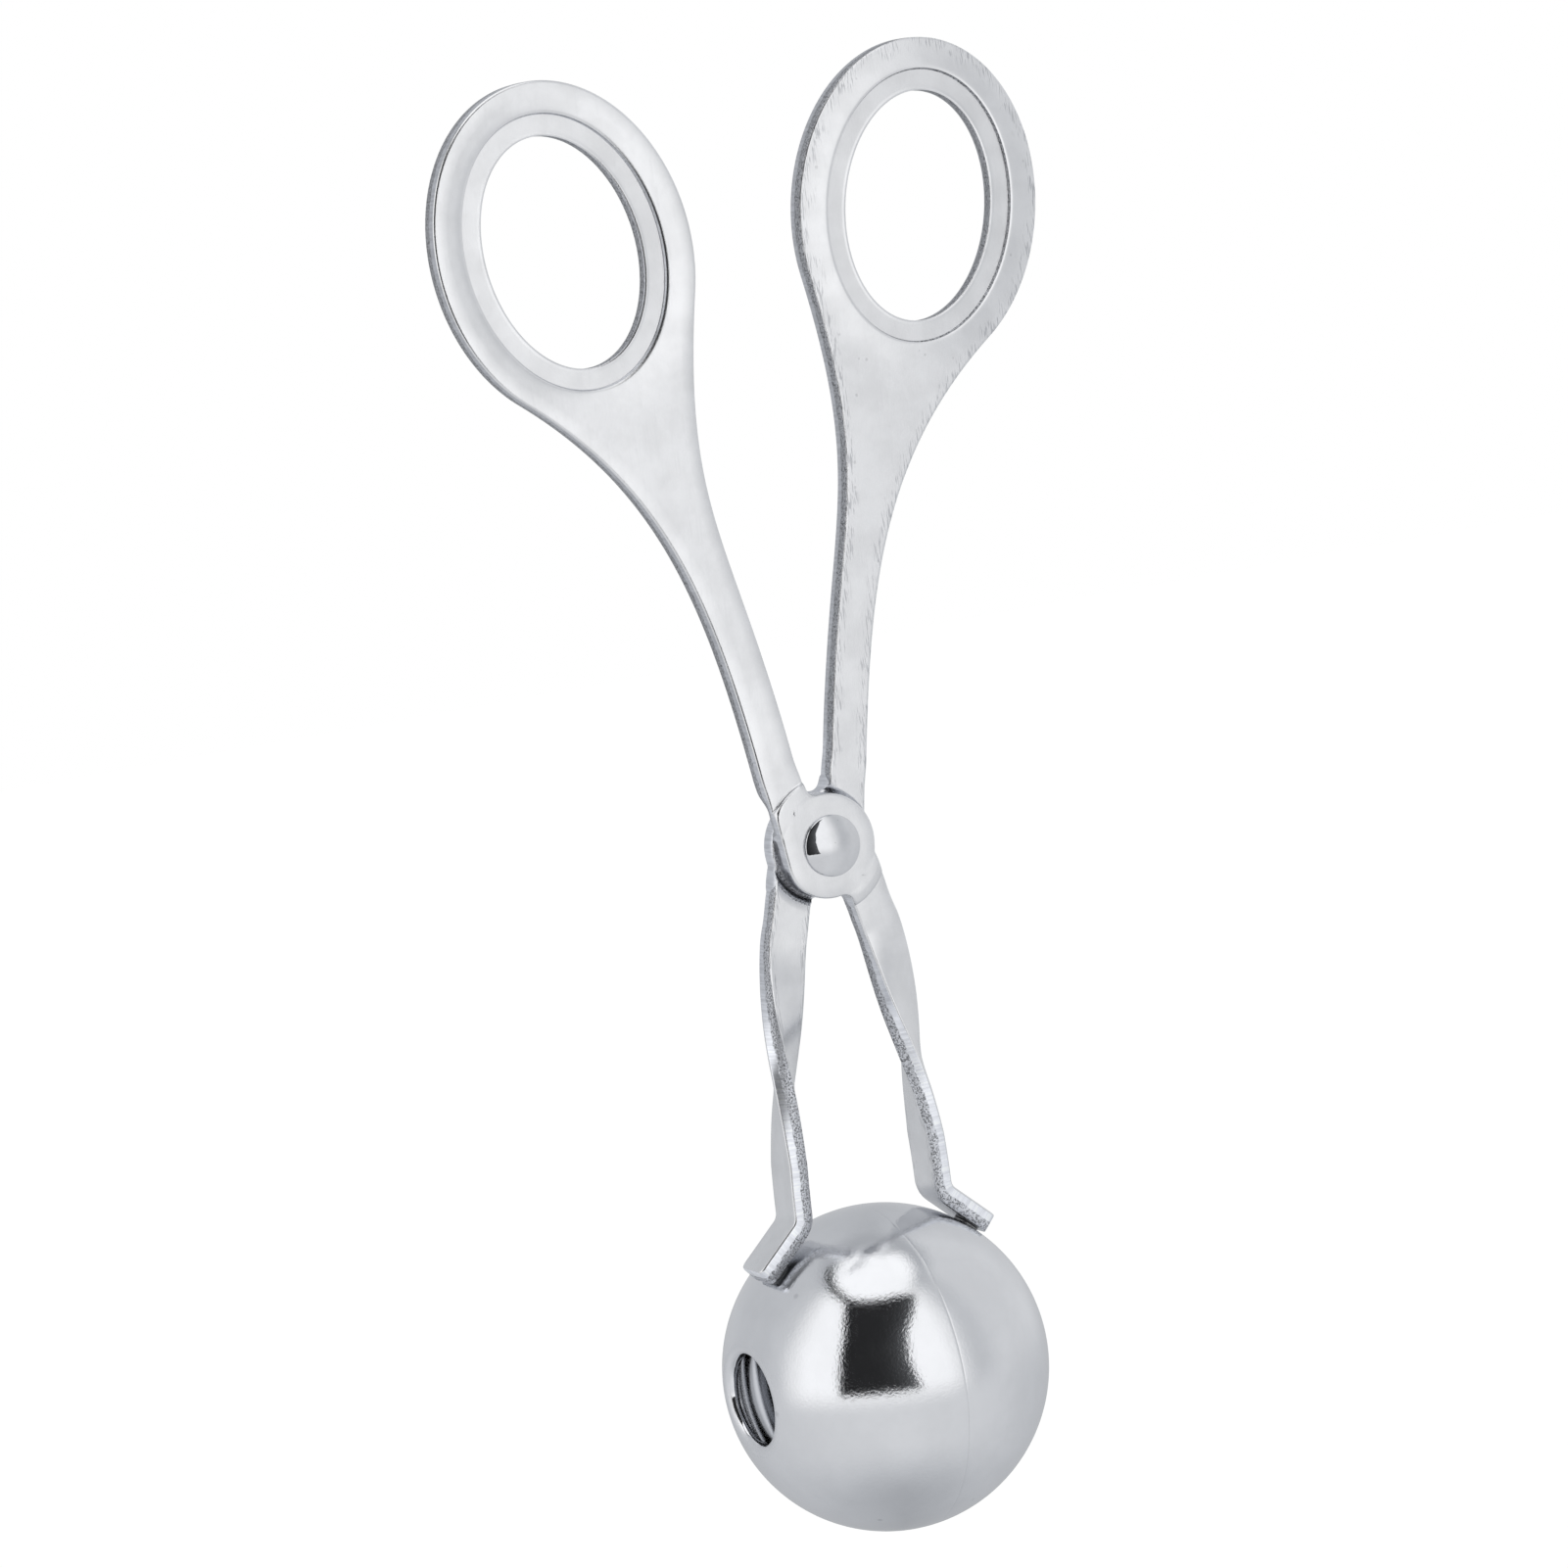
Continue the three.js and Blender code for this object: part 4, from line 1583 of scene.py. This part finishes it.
def settle(piece: Object, body: str, node: str) -> None:
    """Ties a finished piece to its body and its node.

    Args:
        piece: The piece.
        body: The body that carries it.
        node: The node that it stands for.
    """
    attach(piece, body)
    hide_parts(node)
    log.info("%s: %d faces, rides on %s", piece.name, len(piece.data.polygons), body)


# Turned pieces


class TurnedPiece:
    """A Geometry Nodes tree that turns a section of arcs and lines about an axis into a closed mesh."""

    AROUND = 160
    SEAM = 0.002

    def __init__(self, name: str) -> None:
        """Starts the tree with its inputs for the steps around and the finish."""
        self.name = name
        inputs = {"Geometry": GEOMETRY, "Around": "NodeSocketInt", "Finish": "NodeSocketMaterial"}
        self.tree = new_group(name + "_turning", inputs, {"Geometry": GEOMETRY}, "GeometryNodeTree")
        self.bench = NodeBench(self.tree)
        self.source = self.bench.add("NodeGroupInput").outputs
        self.stretches: list[NodeSocket] = []

    def arc(self, centre: tuple[float, float], radius: float, start: float, end: float, count: int) -> None:
        """Adds an arc of the section.

        Args:
            centre: Its centre, as radius and height.
            radius: Its radius.
            start: Its first angle, from the outward direction towards the axis.
            end: Its last angle.
            count: Its number of points.
        """
        angles = {"Start Angle": math.radians(start), "Sweep Angle": math.radians(end - start)}
        inputs = {"Resolution": max(count * 2, 8), "Radius": radius * MM, **angles}
        curve = self.bench.add("GeometryNodeCurveArc", inputs, mode="RADIUS").outputs["Curve"]
        move = {"Geometry": curve, "Translation": (centre[0] * MM, centre[1] * MM, 0.0)}
        self.revolve(self.bench.add("GeometryNodeTransform", move).outputs[0], count)

    def line(self, start: tuple[float, float], end: tuple[float, float], count: int) -> None:
        """Adds a straight stretch of the section.

        Args:
            start: Its first point, as radius and height.
            end: Its last point.
            count: Its number of points.
        """
        inputs = {"Start": (start[0] * MM, start[1] * MM, 0.0), "End": (end[0] * MM, end[1] * MM, 0.0)}
        curve = self.bench.add("GeometryNodeCurvePrimitiveLine", inputs).outputs["Curve"]
        self.revolve(curve, count)

    def revolve(self, curve: NodeSocket, count: int) -> None:
        """Turns one stretch of the section about the axis.

        Args:
            curve: The stretch, with its radius along X and its height along Y.
            count: Its number of points.
        """
        bench = self.bench
        rows = bench.math("ADD", self.source["Around"], 1.0)
        size = {"Size X": 1.0, "Size Y": 1.0, "Vertices X": count, "Vertices Y": rows}
        net = bench.add("GeometryNodeMeshGrid", size).outputs["Mesh"]
        where = bench.parts(bench.add("GeometryNodeInputPosition").outputs[0])
        share = bench.math("ADD", where["X"], 0.5)
        angle = bench.math("MULTIPLY", bench.math("ADD", where["Y"], 0.5), 2.0 * math.pi)
        sample = bench.add("GeometryNodeSampleCurve", {"Curves": curve, "Factor": share}, mode="FACTOR")
        stop = bench.parts(sample.outputs["Position"])
        x = bench.math("MULTIPLY", stop["X"], bench.math("COSINE", angle))
        y = bench.math("MULTIPLY", stop["X"], bench.math("SINE", angle))
        place = bench.add("ShaderNodeCombineXYZ", {0: x, 1: y, 2: stop["Y"]}).outputs[0]
        moved = bench.add("GeometryNodeSetPosition", {"Geometry": net, "Position": place})
        self.stretches.append(moved.outputs[0])

    def make(self, finish: Material, place: Matrix) -> Object:
        """Closes the tree, evaluates it and keeps the result as a plain mesh.

        Args:
            finish: The piece's material.
            place: Where the turned piece goes, in metres, its axis along Z before.

        Returns:
            The piece's object.
        """
        bench = self.bench
        join = bench.add("GeometryNodeJoinGeometry")
        for stretch in reversed(self.stretches):
            bench.feed(join.inputs[0], stretch)
        merge = {"Geometry": join.outputs[0], "Distance": self.SEAM * MM}
        merged = bench.add("GeometryNodeMergeByDistance", merge).outputs[0]
        paint = {"Geometry": merged, "Material": self.source["Finish"]}
        painted = bench.add("GeometryNodeSetMaterial", paint)
        bench.add("NodeGroupOutput", {"Geometry": painted.outputs[0]})

        carrier = linked(self.name + "_carrier", bpy.data.meshes.new(self.name + "_carrier"))
        modifier = carrier.modifiers.new("turning", "NODES")
        modifier.node_group = self.tree
        sockets = self.tree.interface.items_tree
        keys = {socket.name: socket.identifier for socket in sockets if socket.in_out == "INPUT"}
        modifier[keys["Around"]] = self.AROUND
        modifier[keys["Finish"]] = finish
        graph = bpy.context.evaluated_depsgraph_get()
        mesh = bpy.data.meshes.new_from_object(carrier.evaluated_get(graph), depsgraph=graph)
        carrier.modifiers.remove(modifier)
        bpy.data.objects.remove(carrier)
        mesh.transform(place)
        return finished_object(self.name, mesh)


@dataclass
class PressedCup:
    """Half of the ball: a pressed shell whose vent has an inward rolled lip."""

    ball_radius: float = 19.8
    wall: float = 1.0
    rim_gap: float = 0.004
    rim_round: float = 0.014
    vent_radius: float = 5.45
    lip_round: float = 1.0
    lip_depth: float = 0.35
    lip_wall: float = 0.8

    def build(self, half: Half, finish: Material) -> Object:
        """Builds one cup.

        Args:
            half: The half of the tongs that the cup belongs to.
            finish: Its material.

        Returns:
            The cup's object.
        """
        turning = TurnedPiece(half.cup + "_shell")
        outer, inner, vent = self.ball_radius, self.ball_radius - self.wall, self.vent_radius
        base = self.rim_gap + self.rim_round
        rim_centre = math.sqrt((outer - self.rim_round) ** 2 - base**2)
        rim_angle = bearing((rim_centre, base))
        lip_centre = vent + self.lip_round
        lip_height = math.sqrt((outer - self.lip_round) ** 2 - lip_centre**2)
        lip_angle = bearing((lip_centre, lip_height))
        lip_end = lip_height - self.lip_depth
        lip_outside = vent + self.lip_wall
        lip_root = math.sqrt(inner**2 - lip_outside**2)
        root_angle = bearing((lip_outside, lip_root))
        inner_rim = math.sqrt(inner**2 - self.rim_gap**2)
        inner_angle = bearing((inner_rim, self.rim_gap))

        turning.arc((rim_centre, base), self.rim_round, -90.0, rim_angle, 5)
        turning.arc((0.0, 0.0), outer, rim_angle, lip_angle, 80)
        turning.arc((lip_centre, lip_height), self.lip_round, lip_angle, 180.0, 14)
        lip = [(vent, lip_height), (vent, lip_end), (lip_outside, lip_end), (lip_outside, lip_root)]
        for start, end in zip(lip, lip[1:]):
            turning.line(start, end, 4)
        turning.arc((0.0, 0.0), inner, root_angle, inner_angle, 70)
        turning.line((inner_rim, self.rim_gap), (rim_centre, self.rim_gap), 4)
        return turning.make(finish, half.raised(self.ball_radius) @ Matrix.Rotation(math.pi / 2, 4, "Y"))


@dataclass
class PivotRivet:
    """The rivet through both bosses: a low domed head in front, a shank and a peened tail behind."""

    pivot_rise: float = 84.1
    seat: float = 2.58
    shank_radius: float = 2.4
    head_radius: float = 3.7
    head_height: float = 1.25
    head_edge: float = 0.2
    tail_radius: float = 3.5
    tail_height: float = 1.2
    set_over: float = 0.3

    def dome(self, turning: TurnedPiece, radius: float, height: float, side: float) -> None:
        """Adds a dome with a rounded rim to the section.

        Args:
            turning: The turned piece.
            radius: The dome's radius.
            height: Its height over its seat.
            side: 1 for the head's side and -1 for the tail's.
        """
        edge = self.head_edge
        run, rise = radius - edge, height - edge
        crown = (run**2 + rise**2 - edge**2) / (2.0 * (rise - edge))
        slope = side * math.degrees(math.atan2(crown - rise, run))
        base = self.seat * side
        turning.line((self.shank_radius, base), (run, base), 3)
        turning.arc((run, base + side * edge), edge, side * -90.0, slope, 8)
        turning.arc((0.0, base + side * (height - crown)), crown, slope, side * 90.0, 28)

    def build(self, finish: Material) -> Object:
        """Builds the rivet.

        Args:
            finish: Its material.

        Returns:
            The rivet's object.
        """
        turning = TurnedPiece("pivot_rivet_upset")
        turning.line((self.shank_radius, -self.seat), (self.shank_radius, self.seat), 3)
        self.dome(turning, self.head_radius, self.head_height, 1.0)
        self.dome(turning, self.tail_radius, self.tail_height, -1.0)
        place = Matrix.Translation(Vector((self.set_over * MM, 0.0, self.pivot_rise * MM)))
        return turning.make(finish, place @ Matrix.Rotation(math.pi / 2, 4, "X"))


@dataclass
class SpotWeld:
    """The fused bead between a foot and its cup."""

    ball_radius: float = 19.8
    height: float = 0.3
    radius: float = 1.45
    foot_angle: float = 42.0

    def build(self, half: Half, finish: Material) -> Object:
        """Builds one weld.

        Args:
            half: The half of the tongs that the weld belongs to.
            finish: Its material.

        Returns:
            The weld's object.
        """
        turning = TurnedPiece(half.weld + "_bead")
        ball, top = self.ball_radius, self.ball_radius + self.height
        edge = math.degrees(math.acos(self.radius / ball))
        rim = ball * math.sin(math.radians(edge))
        turning.arc((0.0, 0.0), ball, 90.0, edge, 8)
        bulge = (top - rim) / 2
        turning.arc((self.radius, rim + bulge), bulge, -90.0, 90.0, 8)
        turning.line((self.radius, top), (0.0, top), 4)
        tilt = Matrix.Rotation(math.radians(self.foot_angle), 4, "Y")
        return turning.make(finish, half.raised(self.ball_radius) @ tilt)


# Studio


@dataclass
class Studio:
    """A white studio: camera, pale floor, white world, a light tent and the dark opening in it.

    A stop of the glow is an azimuth and a brightness. An edge of the opening is an elevation and the azimuths
    of its two ends. A fade is an elevation and the run past it.
    """

    camera_azimuth: float = -27.112
    camera_elevation: float = 7.213
    camera_roll: float = -7.257
    camera_target: tuple[float, float, float] = (-3.688, 0.0, 92.095)
    camera_distance: float = 578.786
    lens: float = 111.72
    sensor: float = 36.0
    nearest: float = 10.0

    floor_drop: float = 60.0
    floor_size: float = 3000.0
    floor_front: float = 0.3
    floor_grey: float = 0.9
    floor_roughness: float = 0.9
    floor_lift: float = 0.3
    world_light: float = 0.8

    tent_radius: float = 700.0
    tent_step: float = 3.0
    tent_rise: float = 50.0
    tent_tint: tuple[float, float, float, float] = (0.975, 1.0, 1.04, 1.0)
    side_glow: tuple[Span, ...] = (
        (-180.0, 0.64), (-125.0, 0.66), (-108.0, 0.74), (-97.0, 1.00),
        (-86.0, 1.22), (1.0, 1.22), (17.0, 1.20), (22.0, 1.06),
        (27.0, 0.99), (34.0, 0.79), (40.0, 0.70), (48.0, 0.70),
        (62.0, 0.80), (110.0, 0.80), (150.0, 0.58), (180.0, 0.64),
    )
    floor_glow_front: float = 0.84
    floor_glow_back: float = 0.46
    floor_glow_under: float = 0.50
    front_bend: float = 0.38
    under_fade: Span = (40.0, 50.0)
    floor_fade: Span = (2.0, 18.0)
    ceiling_glow: float = 0.52
    ceiling_fade: Span = (52.0, 14.0)
    softbox_glow: float = 1.25
    softbox_elevation: float = 80.0
    softbox_reach: float = 20.0
    softbox_fade: float = 9.0

    opening_shade: float = 0.02
    opening_spill: float = 0.12
    opening_columns: int = 12
    opening_radius: float = 290.0
    opening_rise: float = 20.0
    opening_edges: tuple[tuple[float, float, float], ...] = (
        (-4.0, -60.5, -3.5),
        (2.0, -60.0, -7.0),
        (17.0, -59.5, -10.0),
        (33.0, -58.5, -7.0),
        (46.0, -61.0, 6.0),
        (55.0, -65.0, 18.0),
        (60.0, -68.0, -4.0),
    )
    boom: tuple[Span, ...] = ((-60.0, 58.0), (-72.0, 60.0), (-90.0, 62.5), (-112.0, 65.0), (-134.0, 67.5))
    boom_edges: Span = (-2.2, 1.8)

    def direction(self, azimuth: float, elevation: float) -> Vector:
        """Gives a unit vector from the object towards an azimuth and an elevation, in degrees."""
        turn, rise = math.radians(azimuth), math.radians(elevation)
        return Vector((math.sin(turn) * math.cos(rise), -math.cos(turn) * math.cos(rise), math.sin(rise)))

    def place_camera(self) -> None:
        """Sets the camera at the photograph's viewing angle."""
        camera = bpy.data.cameras.new("photo_camera")
        camera.lens = self.lens
        camera.sensor_width = self.sensor
        camera.clip_start = self.nearest * MM
        holder = linked("photo_camera", camera)
        out = self.direction(self.camera_azimuth, self.camera_elevation)
        right = (-out).cross(Vector((0.0, 0.0, 1.0))).normalized()
        up = right.cross(-out)
        roll = math.radians(self.camera_roll)
        across = math.cos(roll) * right + math.sin(roll) * up
        rise = -math.sin(roll) * right + math.cos(roll) * up
        where = (Vector(self.camera_target) + self.camera_distance * out) * MM
        turn = Matrix((across, rise, out)).transposed().to_4x4()
        holder.matrix_world = Matrix.Translation(where) @ turn
        bpy.context.scene.camera = holder

    def light_world(self) -> None:
        """Sets a white backdrop for camera and mirror rays and plain soft light for the rest."""
        world = bpy.data.worlds.new("studio_white")
        world.use_nodes = True
        bpy.context.scene.world = world
        bench = NodeBench(world.node_tree)
        path = bench.add("ShaderNodeLightPath").outputs
        seen = bench.math("MAXIMUM", path["Is Camera Ray"], path["Is Glossy Ray"])
        seen = bench.math("MAXIMUM", seen, path["Is Transmission Ray"])
        background = world.node_tree.nodes["Background"]
        background.inputs["Color"].default_value = (1.0, 1.0, 1.0, 1.0)
        bench.feed(background.inputs["Strength"], bench.mix_value(seen, self.world_light, 1.0))

    def lay_floor(self) -> None:
        """Lays a plain pale floor under the tongs."""
        half, drop = self.floor_size / 2 * MM, -self.floor_drop * MM
        front = -half * self.floor_front
        mesh = bpy.data.meshes.new("studio_floor")
        corners = [(-half, front, drop), (half, front, drop), (half, half, drop), (-half, half, drop)]
        mesh.from_pydata(corners, [], [(0, 1, 2, 3)])
        floor = linked("studio_floor", mesh)
        material = bpy.data.materials.new("pale_floor")
        material.use_nodes = True
        bench = NodeBench(material.node_tree)
        shader = material.node_tree.nodes["Principled BSDF"]
        shader.inputs["Base Color"].default_value = grey(self.floor_grey)
        shader.inputs["Roughness"].default_value = self.floor_roughness
        shader.inputs["Specular IOR Level"].default_value = 0.0
        path = bench.add("ShaderNodeLightPath").outputs
        lift = bench.math("MULTIPLY", path["Is Camera Ray"], self.floor_lift)
        glow = bench.add("ShaderNodeEmission", {"Color": grey(1.0), "Strength": lift})
        total = bench.add("ShaderNodeAddShader", {0: shader.outputs[0], 1: glow.outputs[0]})
        output = material.node_tree.nodes["Material Output"]
        bench.feed(output.inputs["Surface"], total.outputs[0])
        mesh.materials.append(material)
        floor.visible_glossy = False

    def tent_glow(self, azimuth: float, elevation: float) -> float:
        """Gives the brightness of the light tent in a direction.

        Args:
            azimuth: Direction round the object, in degrees.
            elevation: Direction above the level, in degrees.

        Returns:
            The brightness, where 1 is white.
        """
        stops = np.array(self.side_glow)
        side = float(np.interp(azimuth, stops[:, 0], stops[:, 1]))
        front = (0.5 + 0.5 * math.cos(math.radians(azimuth - self.camera_azimuth))) ** self.front_bend
        level = self.floor_glow_back + (self.floor_glow_front - self.floor_glow_back) * front
        low = level + (self.floor_glow_under - level) * eased(-elevation, self.under_fade)
        box = self.direction(self.camera_azimuth, self.softbox_elevation)
        away = math.degrees(self.direction(azimuth, elevation).angle(box))
        lit = smooth((self.softbox_reach + self.softbox_fade - away) / self.softbox_fade)
        high = self.ceiling_glow + (self.softbox_glow - self.ceiling_glow) * lit
        glow = side + (low - side) * eased(-elevation, self.floor_fade)
        return glow + (high - glow) * eased(elevation, self.ceiling_fade)

    def hang_sheet(
        self, name: str, rows: Sequence[Sequence[tuple[float, float, float]]], radius: float, rise: float
    ) -> None:
        """Hangs a glowing sheet that only mirror rays see.

        Args:
            name: The sheet's name.
            rows: Rows of azimuth, elevation and brightness.
            radius: Distance from the tongs' axis, in millimetres.
            rise: Height of the sheet's centre, in millimetres.
        """
        middle = Vector((0.0, 0.0, rise))
        mesh = bpy.data.meshes.new(name)
        wide = len(rows[0])
        points = [tuple((middle + radius * self.direction(a, e)) * MM) for row in rows for a, e, _ in row]
        faces = [
            (r * wide + c, r * wide + c + 1, (r + 1) * wide + c + 1, (r + 1) * wide + c)
            for r in range(len(rows) - 1)
            for c in range(wide - 1)
        ]
        mesh.from_pydata(points, [], faces)
        glow = mesh.attributes.new("glow", "FLOAT", "POINT")
        glow.data.foreach_set("value", [value for row in rows for _, _, value in row])
        sheet = linked(name, mesh)
        for ray in ("camera", "diffuse", "shadow", "transmission"):
            setattr(sheet, "visible_" + ray, False)
        material = bpy.data.materials.new(name)
        material.use_nodes = True
        bench = NodeBench(material.node_tree)
        strength = bench.attribute("glow", "Fac")
        tint = bench.mix_colour(bench.ramp(strength, 0.4, 1.1), self.tent_tint, grey(1.0))
        shine = bench.add("ShaderNodeEmission", {"Color": tint, "Strength": strength})
        bench.feed(material.node_tree.nodes["Material Output"].inputs["Surface"], shine.outputs[0])
        mesh.materials.append(material)

    def hang_tent(self) -> None:
        """Hangs the light tent, the dark opening for the camera and the softbox's boom."""
        across = np.arange(-180.0, 180.0 + self.tent_step, self.tent_step)
        upward = np.arange(-90.0, 90.0 + self.tent_step, self.tent_step)
        rows = [[(float(a), float(e), self.tent_glow(a, e)) for a in across] for e in upward]
        self.hang_sheet("light_tent", rows, self.tent_radius, self.tent_rise)
        shares = np.linspace(0.0, 1.0, self.opening_columns)
        glows = [self.opening_shade + self.opening_spill * share**6 for share in shares]
        opening = [
            [(left + (right - left) * share, elevation, glow) for share, glow in zip(shares, glows)]
            for elevation, left, right in self.opening_edges
        ]
        self.hang_sheet("tent_opening", opening, self.opening_radius, self.opening_rise)
        boom = [[(a, e + edge, self.opening_shade) for a, e in self.boom] for edge in self.boom_edges]
        self.hang_sheet("softbox_arm", boom, self.opening_radius, self.opening_rise)

    def build(self) -> None:
        """Sets the whole studio."""
        bpy.context.scene.view_settings.view_transform = "Standard"
        self.place_camera()
        self.light_world()
        self.lay_floor()
        self.hang_tent()


def main() -> None:
    """Builds the tongs piece by piece, then the studio."""
    logging.basicConfig(level=logging.INFO, format="%(name)s: %(message)s")
    effects = SharedEffects.build()
    sheet_finish = SatinSheet().build(effects)
    cup_finish = PolishedCup().build(effects)
    rivet_finish = RIVET_STEEL.build(effects)
    weld_finish = WELD_STEEL.build(effects)

    arms = {Half.FRONT: StampedArm(relief_depth=FRONT_RELIEF), Half.REAR: StampedArm()}
    cup, weld = PressedCup(), SpotWeld()
    for half, arm in arms.items():
        arm.dress(arm.build(half), half, sheet_finish)
        settle(cup.build(half, cup_finish), half.body, half.cup)
        settle(weld.build(half, weld_finish), half.body, half.weld)
    settle(PivotRivet().build(rivet_finish), Half.REAR.body, "pivot_rivet")

    Studio().build()


if __name__ == "__main__":
    main()
